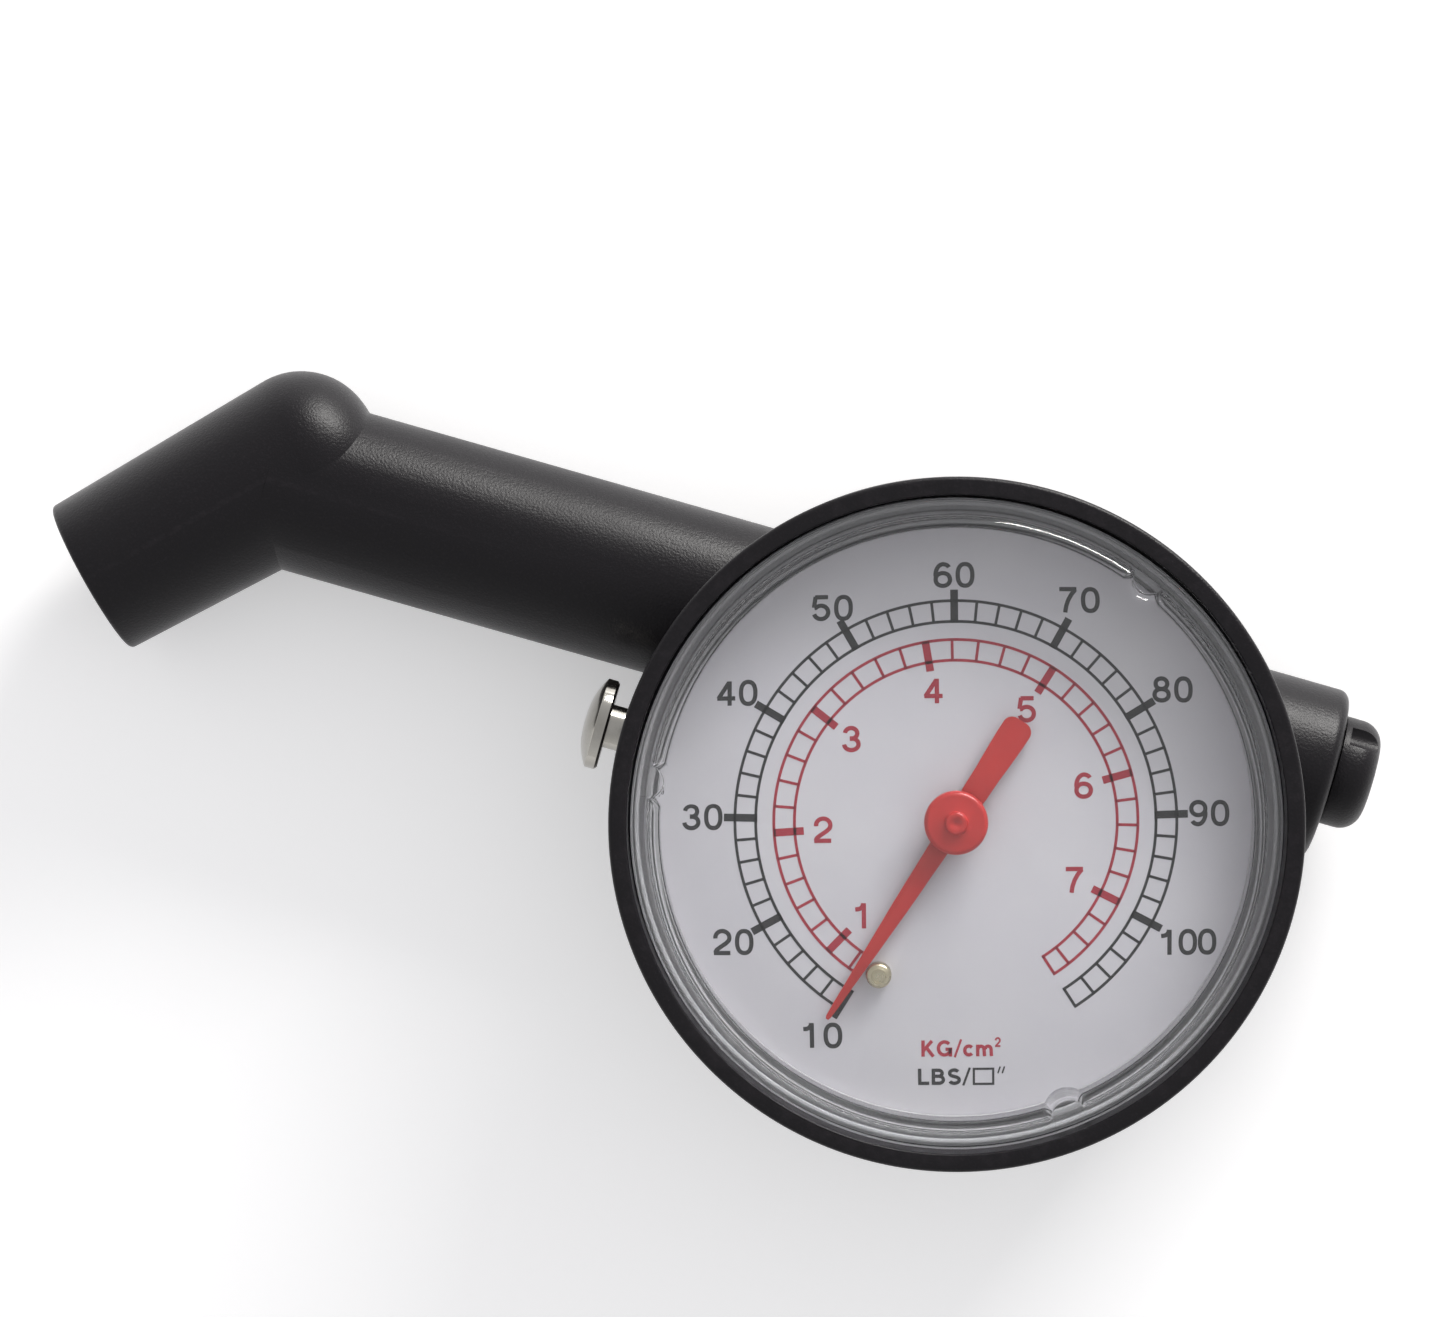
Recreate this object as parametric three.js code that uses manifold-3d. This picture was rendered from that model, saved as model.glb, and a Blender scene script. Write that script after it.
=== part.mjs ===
// Dial tyre pressure gauge: a round case moulded in one with its air barrel and 45 degree chuck.
//
// Millimetres, +Z up. The origin is the centre of the case's flat back, on the dial axis. The dial
// faces +Z, the barrel runs along X with its plugged tail towards +X, and the chuck is at -X.

import * as THREE from 'three';
import { mergeVertices } from 'three/addons/utils/BufferGeometryUtils.js';
import Module from 'manifold-3d';

const wasm = await Module();
wasm.setup();

// ---------------------------------------------------------------- driving dimensions

const GAP = 0.3; // air left between pieces that touch on the real gauge

// The moulded wall leans in towards the back, so the case is widest at its rim.
const CASE = { r: 30, backR: 29.3, backEdge: 2, rimZ: 28, rimEdge: 0.4, rimInnerR: 28.4, floor: 2 };
const CUP = { r: 26.6, ledgeZ: 21.6 };
const BARREL = { r: 7.75, y: 11.85, z: 8.1, tailX: 31.1, tailEdge: 1, boreR: 2.75, roofZ: 12.7 };

// Distances along the chuck are measured in from its mouth.
const CHUCK = { bendX: -66.05, length: 18.5, mouthR: 7.2, mouthEdge: 0.4 };
const DOME = { r: 7.78, start: 22, corner: 6.67 };
const NOZZLE_SEAT = { r: 6, end: 5.2 };
const SEAL_SEAT = { r: 5.4, end: 7.9 };
const CHECK_CHAMBER = { r: 3.6, end: 15.2, throatR: 2.2 };

const DIAL = { r: 27.9, z: 21.9, thickness: 0.6, holeR: 1.7 };
const GASKET = { innerR: 25.8, r: 27.9, z0: 22.8, z1: 23.2 };
const LENS = { r: 27.95, skirtZ: 23.5, flangeZ: 27, topZ: 28.6, roofZ: 26.8 };
const LENS_WALL = { r: 26.7, innerR: 25.7, shoulder: 0.9 };
const SCALLOP = { r: 1.45, at: 26.9, floorZ: 27.2, angles: [68, 188, 307] };

const RELEASE = { y: -0.73, z: 16.7, headX: -33.45, headR: 4.02, dome: 1.05, back: 2.15, stemR: 1.95 };
const SCREW = { x: 8, y: 21.6, bossR: 2.7, holeR: 1.2, headR: 1.9, sinkR: 2.2, sinkDepth: 1.9 };
const PORT_R = 2.7; // air port through the roof over the barrel's bore

const BOURDON = { r: 20.9, start: 62, sweep: 206, z: 16.5, height: 4.6, width: 1.8, wall: 0.4 };
const MODULE = 0.3; // gear tooth module
const PINION_TEETH = 8;
const SECTOR_TEETH = 80; // teeth of the full wheel that the sector is a part of
const GEAR_CENTRES = (MODULE * (PINION_TEETH + SECTOR_TEETH)) / 2;
const SECTOR_AT = 241; // direction of the sector's pivot from the dial axis, degrees
const LINK_ARM = 3.2; // from the sector's pivot to the link pin on it
const LINK_ARM_AT = 60.8;
const TIP_PIN = { r: 18, at: 211.7 };

const POINTER_REST = 252.8; // direction of the pointer at rest, degrees
const POINTER_REACH = 20.4;
const STOP_PIN = { r: 14.9, at: 259.3, radius: 1.1 };

const PLATE = { backZ: 17.3, frontZ: 20.3, thickness: 0.8 };
const GEAR = { z0: 18.5, z1: 19.2 };
const MOVEMENT_SCREW = { x: 5.5, y: 9.8, holeR: 0.95 };
const PILLARS = [[7, 3.4], [-7, 3.4], [3.4, -13.6]];

// The plug's lengths are measured from the inner end of its shank.
const PLUG = { y: 12.6, length: 10.8, collar: 7.3, gripR: 4.9, shankR: 3.7, corner: 2 };
const FLUTE = { r: 1.15, inset: -0.25, angles: [134, 314] }; // grip grooves along the plug
const PLUG_SEAT = { r: 4, depth: 7.3 };

// ---------------------------------------------------------------- shape helpers

const radians = THREE.MathUtils.degToRad;

function polar(r, degrees) {
  return new THREE.Vector2(r * Math.cos(radians(degrees)), r * Math.sin(radians(degrees)));
}

// A matrix that carries local +Z onto a direction, with the local origin at a point.
function axisFrame(origin, direction) {
  const up = new THREE.Vector3(0, 0, 1);
  const turn = new THREE.Quaternion().setFromUnitVectors(up, new THREE.Vector3(...direction).normalize());
  return new THREE.Matrix4().compose(new THREE.Vector3(...origin), turn, new THREE.Vector3(1, 1, 1));
}

function shifted(x, y, z) {
  return new THREE.Matrix4().makeTranslation(x, y, z);
}

// Turns a closed three.js geometry into a solid that can be joined and cut.
function solid(geometry, place) {
  const shape = geometry.clone();
  if (place) shape.applyMatrix4(place);
  shape.deleteAttribute('normal');
  shape.deleteAttribute('uv');
  const merged = mergeVertices(shape, 1e-4);
  const corners = merged.index.array;
  const kept = [];
  for (let i = 0; i < corners.length; i += 3) {
    const [a, b, c] = [corners[i], corners[i + 1], corners[i + 2]];
    if (a !== b && b !== c && c !== a) kept.push(a, b, c);
  }
  const vertProperties = new Float32Array(merged.attributes.position.array);
  return new wasm.Manifold(new wasm.Mesh({ numProp: 3, vertProperties, triVerts: new Uint32Array(kept) }));
}

// A body of revolution about local Z from [radius, height] points listed up its outer side.
function turned(points, segments = 24, place) {
  const profile = points.map(([r, z]) => new THREE.Vector2(r, z));
  return solid(new THREE.LatheGeometry(profile, segments).rotateX(Math.PI / 2), place);
}

function rod(r, z0, z1, segments = 16, place) {
  return turned([[0, z0], [r, z0], [r, z1], [0, z1]], segments, place);
}

function ring(inner, outer, z0, z1, segments = 24, place) {
  return turned([[inner, z0], [outer, z0], [outer, z1], [inner, z1], [inner, z0]], segments, place);
}

function box(x0, x1, y0, y1, z0, z1) {
  const shape = new THREE.BoxGeometry(x1 - x0, y1 - y0, z1 - z0);
  return solid(shape.translate((x0 + x1) / 2, (y0 + y1) / 2, (z0 + z1) / 2));
}

function plate(outline, z0, z1, curveSegments = 6) {
  const shape = new THREE.ExtrudeGeometry(outline, { depth: z1 - z0, bevelEnabled: false, curveSegments });
  return solid(shape.translate(0, 0, z0));
}

// Points along a circular arc, for profiles and outlines.
function arc(cx, cy, r, from, to, steps) {
  const points = [];
  for (let i = 0; i <= steps; i += 1) {
    const turn = radians(from + ((to - from) * i) / steps);
    points.push([cx + r * Math.cos(turn), cy + r * Math.sin(turn)]);
  }
  return points;
}

function outlineOf(points) {
  return new THREE.Shape(points.map(([x, y]) => new THREE.Vector2(x, y)));
}

// A sector of a flat ring between two radii and two directions.
function ringSector(inner, outer, from, to, z0, z1, steps = 6) {
  const points = [...arc(0, 0, outer, from, to, steps), ...arc(0, 0, inner, to, from, steps)];
  return plate(outlineOf(points), z0, z1);
}

function roundedBox(x0, x1, y0, y1, r) {
  return outlineOf([
    ...arc(x1 - r, y1 - r, r, 0, 90, 3),
    ...arc(x0 + r, y1 - r, r, 90, 180, 3),
    ...arc(x0 + r, y0 + r, r, 180, 270, 3),
    ...arc(x1 - r, y0 + r, r, 270, 360, 3),
  ]);
}

// A closed wire or strip: a section carried along a curve.
function swept(curve, section, steps) {
  return solid(new THREE.ExtrudeGeometry(section, { extrudePath: curve, steps, bevelEnabled: false }));
}

class Helix extends THREE.Curve {
  constructor(r, z0, z1, turns) {
    super();
    Object.assign(this, { r, z0, z1, turns });
  }

  getPoint(t) {
    const turn = 2 * Math.PI * this.turns * t;
    const z = this.z0 + (this.z1 - this.z0) * t;
    return new THREE.Vector3(this.r * Math.cos(turn), this.r * Math.sin(turn), z);
  }
}

class Spiral extends THREE.Curve {
  constructor(r0, r1, z, turns, end) {
    super();
    Object.assign(this, { r0, r1, z, turns, end });
  }

  getPoint(t) {
    const turn = radians(this.end) - 2 * Math.PI * this.turns * (1 - t);
    const r = this.r0 + (this.r1 - this.r0) * t;
    return new THREE.Vector3(r * Math.cos(turn), r * Math.sin(turn), this.z);
  }
}

function wireSection(r, sides = 6) {
  return outlineOf(arc(0, 0, r, 0, 360 - 360 / sides, sides - 1));
}

// ---------------------------------------------------------------- finishes

const FINISH = {
  blackPlastic: { color: 0x252525, roughness: 0.5, metalness: 0 },
  clearPlastic: { color: 0xeef2f4, roughness: 0.06, metalness: 0, transparent: true, opacity: 0.3 },
  dialPaint: { color: 0xc9c4cc, roughness: 0.5, metalness: 0 },
  redPlastic: { color: 0xe03a2c, roughness: 0.4, metalness: 0 },
  brass: { color: 0xb99b5f, roughness: 0.3, metalness: 1 },
  nickel: { color: 0xb9b7b0, roughness: 0.15, metalness: 1 },
  steel: { color: 0x9a9c9e, roughness: 0.35, metalness: 1 },
  bronze: { color: 0xa9804a, roughness: 0.35, metalness: 1 },
  rubber: { color: 0x161616, roughness: 0.8, metalness: 0 },
  greyRubber: { color: 0x868486, roughness: 0.6, metalness: 0 },
};

function piece(name, shape, finish) {
  const mesh = shape.getMesh();
  const geometry = new THREE.BufferGeometry();
  geometry.setAttribute('position', new THREE.BufferAttribute(new Float32Array(mesh.vertProperties), 3));
  geometry.setIndex(new THREE.BufferAttribute(new Uint32Array(mesh.triVerts), 1));
  geometry.computeVertexNormals();
  const part = new THREE.Mesh(geometry, new THREE.MeshStandardMaterial(FINISH[finish]));
  part.name = name;
  return part;
}

// ---------------------------------------------------------------- shared places

const MOUTH_X = CHUCK.bendX - CHUCK.length * Math.SQRT1_2;
const MOUTH_Y = BARREL.y - CHUCK.length * Math.SQRT1_2;
const CHUCK_FRAME = axisFrame([MOUTH_X, MOUTH_Y, BARREL.z], [1, 1, 0]); // local z runs in from the mouth
const BARREL_FRAME = axisFrame([0, BARREL.y, BARREL.z], [1, 0, 0]);
const PLUG_FRAME = axisFrame([0, PLUG.y, BARREL.z], [1, 0, 0]);
const RELEASE_FRAME = axisFrame([0, RELEASE.y, RELEASE.z], [1, 0, 0]);
const SECTOR_PIVOT = polar(GEAR_CENTRES, SECTOR_AT);
const TIP_PIN_AT = polar(TIP_PIN.r, TIP_PIN.at);
const SECTOR_PIN_AT = SECTOR_PIVOT.clone().add(polar(LINK_ARM, LINK_ARM_AT));

// ---------------------------------------------------------------- moulded body

function gaugeBody() {
  const { r, backR, backEdge, rimZ, rimEdge, rimInnerR, floor } = CASE;
  const foot = arc(backR - backEdge, backEdge, backEdge, -90, 0, 4);
  const cup = turned([[0, 0], ...foot, [r, rimZ - rimEdge], [r - rimEdge, rimZ], [0, rimZ]], 60);
  const { tailX, tailEdge } = BARREL;
  const barrelEnd = [[BARREL.r, tailX - tailEdge], [BARREL.r - 0.3 * tailEdge, tailX - 0.3 * tailEdge],
    [BARREL.r - tailEdge, tailX], [0, tailX]];
  const barrel = turned([[0, CHUCK.bendX], [BARREL.r, CHUCK.bendX], ...barrelEnd], 32, BARREL_FRAME);
  const dome = arc(DOME.r - DOME.corner, DOME.start, DOME.corner, 0, 90, 6);
  const mouth = [[0, 0], [CHUCK.mouthR - CHUCK.mouthEdge, 0], [CHUCK.mouthR, CHUCK.mouthEdge]];
  const chuck = turned([...mouth, ...dome, [0, DOME.start + DOME.corner]], 32, CHUCK_FRAME);

  const cavity = turned([[0, floor], [CUP.r, floor], [CUP.r, CUP.ledgeZ], [rimInnerR, CUP.ledgeZ],
    [rimInnerR, rimZ + 1], [0, rimZ + 1]], 60);
  const roof = box(-CUP.r, CUP.r, BARREL.y - BARREL.r, BARREL.y + BARREL.r, floor, BARREL.roofZ);
  const rib = barrel.intersect(roof).intersect(rod(CUP.r + 0.1, 0, rimZ, 60));
  let body = cup.subtract(cavity).add(rib);
  const outside = barrel.add(chuck).subtract(rod(CUP.r, 0, rimZ, 60));
  body = body.add(outside);

  for (const side of [-1, 1]) {
    const place = shifted(side * SCREW.x, SCREW.y, 0);
    body = body.add(rod(SCREW.bossR, 0.5, BARREL.roofZ, 20, place));
    body = body.subtract(rod(SCREW.holeR, -1, BARREL.roofZ + 1, 12, place));
    body = body.subtract(rod(SCREW.sinkR, -1, SCREW.sinkDepth, 20, place));
  }

  const airway = rod(BARREL.boreR, CHUCK.bendX, tailX - PLUG_SEAT.depth + 0.1, 20, BARREL_FRAME);
  const plugSeat = rod(PLUG_SEAT.r, tailX - PLUG_SEAT.depth, tailX + 1, 20, PLUG_FRAME);
  const chamber = CHECK_CHAMBER;
  const chuckBore = turned([[0, -1], [NOZZLE_SEAT.r, -1], [NOZZLE_SEAT.r, NOZZLE_SEAT.end],
    [SEAL_SEAT.r, NOZZLE_SEAT.end], [SEAL_SEAT.r, SEAL_SEAT.end], [chamber.r, SEAL_SEAT.end],
    [chamber.r, chamber.end], [chamber.throatR, chamber.end], [chamber.throatR, CHUCK.length],
    [0, CHUCK.length]], 28, CHUCK_FRAME);
  const port = rod(PORT_R, BARREL.z, BARREL.roofZ + 1, 16, shifted(0, BARREL.y, 0));
  const stemHole = rod(RELEASE.stemR + GAP, -CASE.r - 1, -CASE.r + 6, 20, RELEASE_FRAME);
  return body.subtract(airway.add(plugSeat)).subtract(chuckBore).subtract(port).subtract(stemHole);
}

// ---------------------------------------------------------------- lens and dial

function lens() {
  const { r, skirtZ, flangeZ, topZ, roofZ } = LENS;
  const { r: wallR, innerR, shoulder } = LENS_WALL;
  const crown = arc(wallR - shoulder, topZ - shoulder, shoulder, 0, 90, 3);
  let shape = turned([[0, roofZ], [innerR, roofZ], [innerR, skirtZ], [r, skirtZ], [r, flangeZ],
    [wallR, flangeZ], ...crown, [0, topZ]], 48);
  for (const angle of SCALLOP.angles) {
    const at = polar(SCALLOP.at, angle);
    const place = shifted(at.x, at.y, 0);
    shape = shape.subtract(rod(SCALLOP.r, SCALLOP.floorZ, topZ + 1, 12, place));
  }
  return shape;
}

function lensGasket() {
  return ring(GASKET.innerR, GASKET.r, GASKET.z0, GASKET.z1, 48);
}

function dialPlate() {
  const top = DIAL.z + DIAL.thickness;
  const at = polar(STOP_PIN.r, STOP_PIN.at);
  const pinHole = rod(STOP_PIN.radius + GAP, 0, top + 1, 12, shifted(at.x, at.y, 0));
  return ring(DIAL.holeR, DIAL.r, DIAL.z, top, 48).subtract(pinHole);
}

function stopPin() {
  const at = polar(STOP_PIN.r, STOP_PIN.at);
  const { radius } = STOP_PIN;
  const head = [[radius, 23.9], [radius - 0.3, 24.2], [0, 24.2]];
  return turned([[0, 21.2], [radius, 21.2], ...head], 16, shifted(at.x, at.y, 0));
}

// ---------------------------------------------------------------- pointer and its arbor

function pointerBlade() {
  const z0 = 23.1;
  const z1 = 23.5;
  const half = [[2, 0.92], [9, 0.74], [17, 0.37], [POINTER_REACH, 0.2]];
  const tail = [[-3.2, 1.13], [-5, 1.17], [-7, 1.27], [-8.6, 1.34]];
  const tailEnd = arc(-9.1, 0, 1.34, 100, 260, 6);
  const points = [...half.map(([x, y]) => [x, -y]), ...[...half].reverse(), ...tail, ...tailEnd,
    ...[...tail].reverse().map(([x, y]) => [x, -y])];
  const outline = outlineOf(points);
  const turn = new THREE.Matrix4().makeRotationZ(radians(POINTER_REST));
  const blade = new THREE.ExtrudeGeometry(outline, { depth: z1 - z0, bevelEnabled: false });
  return solid(blade.translate(0, 0, z0), turn).add(rod(2.4, z0, z1, 24)).subtract(rod(1.6, 0, z1 + 1, 20));
}

function pointerHub() {
  const disc = [[1.3, 23.8], [2.77, 23.8], [2.77, 24.7], [2.5, 24.95], [1, 24.95], [1, 25.3], [0.8, 25.45]];
  return turned([[0.8, 22.8], [1.3, 22.8], ...disc, [0, 25.45], [0, 24.9], [0.8, 24.9], [0.8, 22.8]], 20);
}

function toothedOutline(teeth, pitchR, from, count) {
  const root = pitchR - 1.2 * MODULE;
  const tip = pitchR + 0.85 * MODULE;
  const pitch = 360 / teeth;
  const wide = 0.3 * pitch;
  const narrow = 0.14 * pitch;
  const points = [];
  for (let i = 0; i < count; i += 1) {
    const centre = from + i * pitch;
    const corners = [[root, -wide], [tip, -narrow], [tip, narrow], [root, wide]];
    for (const [r, offset] of corners) {
      const at = polar(r, centre + offset);
      points.push([at.x, at.y]);
    }
  }
  return points;
}

function pinionArbor() {
  const pitchR = (MODULE * PINION_TEETH) / 2;
  const firstTooth = SECTOR_AT + 180 / PINION_TEETH;
  const teeth = plate(outlineOf(toothedOutline(PINION_TEETH, pitchR, firstTooth, PINION_TEETH)), 18.3, 19.4);
  return teeth.add(rod(0.5, PLATE.backZ + 0.1, 24.6, 12));
}

// ---------------------------------------------------------------- sector gear and link

function sectorGear() {
  const pitchR = (MODULE * SECTOR_TEETH) / 2;
  const toPinion = SECTOR_AT - 180;
  const pitch = 360 / SECTOR_TEETH;
  const before = 8; // teeth on the side that meets the pinion as the pressure rises
  const after = 1;
  const rim = toothedOutline(SECTOR_TEETH, pitchR, toPinion - before * pitch, before + after + 1);
  const hubSide = arc(0, 0, 1.7, toPinion + 60, toPinion + 300, 8);
  const outline = outlineOf([...rim, ...hubSide]);
  const shape = new THREE.ExtrudeGeometry(outline, { depth: GEAR.z1 - GEAR.z0, bevelEnabled: false });
  const place = shifted(SECTOR_PIVOT.x, SECTOR_PIVOT.y, GEAR.z0);
  const bore = shifted(SECTOR_PIVOT.x, SECTOR_PIVOT.y, 0);
  const pinHole = shifted(SECTOR_PIN_AT.x, SECTOR_PIN_AT.y, 0);
  return solid(shape, place).subtract(rod(0.9, 0, 30, 12, bore)).subtract(rod(0.65, 0, 30, 10, pinHole));
}

function sectorArbor() {
  const z0 = PLATE.backZ + 0.1;
  const z1 = PLATE.frontZ + PLATE.thickness - 0.1;
  return rod(0.6, z0, z1, 12, shifted(SECTOR_PIVOT.x, SECTOR_PIVOT.y, 0));
}

function linkPin(at, z0, z1) {
  return rod(0.35, z0, z1, 10, shifted(at.x, at.y, 0));
}

function linkBar() {
  const span = SECTOR_PIN_AT.clone().sub(TIP_PIN_AT);
  const length = span.length();
  const place = new THREE.Matrix4().makeRotationZ(Math.atan2(span.y, span.x));
  place.setPosition(TIP_PIN_AT.x, TIP_PIN_AT.y, 19.5);
  const outline = outlineOf([...arc(0, 0, 1.15, 30, 330, 6), ...arc(length, 0, 1.3, -150, 150, 6)]);
  const holes = [[0, 0.65], [length, 0.75]];
  for (const [x, r] of holes) {
    const hole = new THREE.Path();
    hole.absarc(x, 0, r, 0, 2 * Math.PI, true);
    outline.holes.push(hole);
  }
  const bar = { depth: 0.4, bevelEnabled: false, curveSegments: 6 };
  return solid(new THREE.ExtrudeGeometry(outline, bar), place);
}

// ---------------------------------------------------------------- pressure tube

function bourdonTube() {
  const { r, start, sweep, z, height, width, wall } = BOURDON;
  const curve = new THREE.Curve();
  const flattened = (w, h, from, to) => {
    curve.getPoint = (t) => {
      const at = polar(r, from + (to - from) * t);
      return new THREE.Vector3(at.x, at.y, z);
    };
    const section = outlineOf([
      ...arc(h / 2 - w / 2, 0, w / 2, -90, 90, 3),
      ...arc(w / 2 - h / 2, 0, w / 2, 90, 270, 3),
    ]);
    return swept(curve, section, 20);
  };
  const outer = flattened(width, height, start, start - sweep);
  const inner = flattened(width - 2 * wall, height - 2 * wall, start + 2, start - sweep + 3);
  return outer.subtract(inner);
}

function bourdonTip() {
  const end = BOURDON.start - BOURDON.sweep - 1;
  const cap = ringSector(16.9, 22.3, end - 7, end, 14.2, 18.9, 3);
  const hole = shifted(TIP_PIN_AT.x, TIP_PIN_AT.y, 0);
  return cap.subtract(rod(0.65, 17.4, 30, 10, hole));
}

// ---------------------------------------------------------------- manifold and its fastenings

function manifold() {
  const main = plate(roundedBox(-10, 10, 7.2, 25, 1), 13, 17);
  const arm = plate(roundedBox(-17, -9, -4.6, 13, 1), 13, 20.3);
  const lug = ringSector(18.8, 23.2, 63, 92, 13, 20);
  const spigot = rod(2.3, 10.6, 14, 16, shifted(0, BARREL.y, 0));
  const tubeWay = ringSector(18.4, 27, 35, BOURDON.start + 1, 12, 20);
  let shape = main.add(arm).intersect(rod(25.4, 0, 30, 48)).subtract(tubeWay).add(lug).add(spigot);

  const groove = ring(1.7, 2.6, 11.4, 12.7, 16, shifted(0, BARREL.y, 0));
  const rise = rod(0.8, 10, 15.4, 10, shifted(0, BARREL.y, 0));
  const chamber = rod(2.7, -18, -12, 16, RELEASE_FRAME);
  const down = rod(0.8, RELEASE.y, BARREL.y, 10, axisFrame([-13.5, 0, 15.4], [0, 1, 0]));
  const across = rod(0.8, -13.5, 0, 10, axisFrame([0, BARREL.y, 15.4], [1, 0, 0]));
  const toTube = polar(BOURDON.r, BOURDON.start);
  const feed = rod(0.7, 0, 10.8, 10, axisFrame([0, BARREL.y, 15.4], [toTube.x, toTube.y - BARREL.y, 0]));
  for (const way of [groove, rise, chamber, down, across, feed]) shape = shape.subtract(way);

  for (const side of [-1, 1]) {
    const back = shifted(side * SCREW.x, SCREW.y, 0);
    const front = shifted(side * MOVEMENT_SCREW.x, MOVEMENT_SCREW.y, 0);
    shape = shape.subtract(rod(SCREW.holeR, 13, 16.4, 12, back));
    shape = shape.subtract(rod(MOVEMENT_SCREW.holeR, 14.6, 18, 10, front));
  }
  return shape;
}

function backScrew(side) {
  const place = shifted(side * SCREW.x, SCREW.y, 0);
  const slot = box(side * SCREW.x - 2, side * SCREW.x + 2, SCREW.y - 0.25, SCREW.y + 0.25, 0, 0.8);
  const shank = SCREW.holeR - GAP;
  const screw = turned([[0, 0.3], [SCREW.headR - 0.3, 0.3], [SCREW.headR, 0.6], [SCREW.headR, 1.6],
    [shank, 1.6], [shank, 16], [0, 16]], 20, place);
  return screw.subtract(slot);
}

// ---------------------------------------------------------------- movement plates

function movementPlate(yTop, z0) {
  const z1 = z0 + PLATE.thickness;
  let shape = plate(roundedBox(-8.6, 8.6, -15.2, yTop, 2.2), z0, z1);
  const holes = [[0, 0, 0.8], [SECTOR_PIVOT.x, SECTOR_PIVOT.y, 0.9]];
  for (const [x, y] of PILLARS) holes.push([x, y, 0.9]);
  if (yTop > MOVEMENT_SCREW.y) {
    for (const side of [-1, 1]) holes.push([side * MOVEMENT_SCREW.x, MOVEMENT_SCREW.y, MOVEMENT_SCREW.holeR]);
  }
  for (const [x, y, r] of holes) {
    shape = shape.subtract(rod(r, z0 - 1, z1 + 1, 10, shifted(x, y, 0)));
  }
  return shape;
}

function pillar([x, y]) {
  const low = PLATE.backZ + PLATE.thickness + GAP;
  const high = PLATE.frontZ - GAP;
  const profile = [[0, PLATE.backZ + 0.1], [0.6, PLATE.backZ + 0.1], [0.6, low], [1.2, low], [1.2, high],
    [0.6, high], [0.6, PLATE.frontZ + PLATE.thickness], [0, PLATE.frontZ + PLATE.thickness]];
  return turned(profile, 12, shifted(x, y, 0));
}

function movementScrew(side) {
  const top = PLATE.backZ + PLATE.thickness + GAP;
  const place = shifted(side * MOVEMENT_SCREW.x, MOVEMENT_SCREW.y, 0);
  const profile = [[0, 14.9], [0.65, 14.9], [0.65, top], [1.4, top], [1.4, top + 0.8], [0, top + 0.8]];
  return turned(profile, 14, place);
}

function hairspring() {
  const strip = outlineOf([[-0.15, -0.09], [0.15, -0.09], [0.15, 0.09], [-0.15, 0.09]]);
  return swept(new Spiral(1, 4.6, 19.85, 4, 150), strip, 56);
}

// ---------------------------------------------------------------- release valve, about its own axis

function releaseButton() {
  const { headX, headR, dome, stemR } = RELEASE;
  const back = headX + RELEASE.back;
  const face = headX + dome;
  const crown = [[headR * 0.55, headX + 0.22 * dome], [headR * 0.85, headX + 0.6 * dome]];
  const stem = [[stemR, back], [stemR, -24.5], [0.9, -24.5], [0.9, -13.8], [1.5, -13.8], [1.5, -13.5],
    [0, -13.5]];
  const profile = [[0, headX], [headR * 0.28, headX + 0.06 * dome], ...crown, [headR, face],
    [headR, back - 0.2], [headR - 0.25, back], ...stem];
  return turned(profile, 24);
}

function releaseSeal() {
  return ring(1.2, 2.2, -15.5, -14.1, 20);
}

function releaseValveBody() {
  const out = -25.8;
  const seat = -18.6;
  const face = -17 - GAP;
  return turned([[2.3, out], [3.5, out], [3.5, face], [2.3, face], [2.3, -15.8], [1.35, -15.8], [1.35, seat],
    [2.3, seat], [2.3, out]], 24);
}

// ---------------------------------------------------------------- chuck internals, z = depth from the mouth

function chuckNozzle() {
  return turned([[4.7, 1], [5.2, 0.4], [5.7, 0.4], [5.7, 4.9], [4.7, 4.9], [4.7, 1]], 28);
}

function checkPlunger() {
  return turned([[0, 5], [0.7, 5], [1.1, 5.4], [1.1, 10.4], [2.7, 10.4], [2.7, 11.2], [0.9, 11.2],
    [0.9, 12.9], [0, 12.9]], 20);
}

function valveSeat() {
  return turned([[1.7, 8.2], [3.3, 8.2], [3.3, 9.2], [2.4, 9.2], [2, 9.5], [1.7, 9.5], [1.7, 8.2]], 20);
}

// ---------------------------------------------------------------- tail plug, z = distance along it

function tailPlug() {
  const { length, collar, gripR, shankR, corner } = PLUG;
  const rounded = arc(gripR - corner, length - corner, corner, 0, 90, 4);
  const shank = [[0, 0], [shankR - 0.3, 0], [shankR, 0.4], [shankR, 4.4], [2.6, 4.4], [2.6, 6.1],
    [shankR, 6.1], [shankR, collar]];
  let shape = turned([...shank, [gripR, collar], ...rounded, [0, length]], 24);
  for (const angle of FLUTE.angles) {
    const at = polar(gripR - FLUTE.inset, angle);
    const place = shifted(at.x, at.y, 0);
    shape = shape.subtract(rod(FLUTE.r, collar + 0.5, length + 1, 12, place));
  }
  return shape;
}

// ---------------------------------------------------------------- assembly

const gauge = new THREE.Group();

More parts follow.
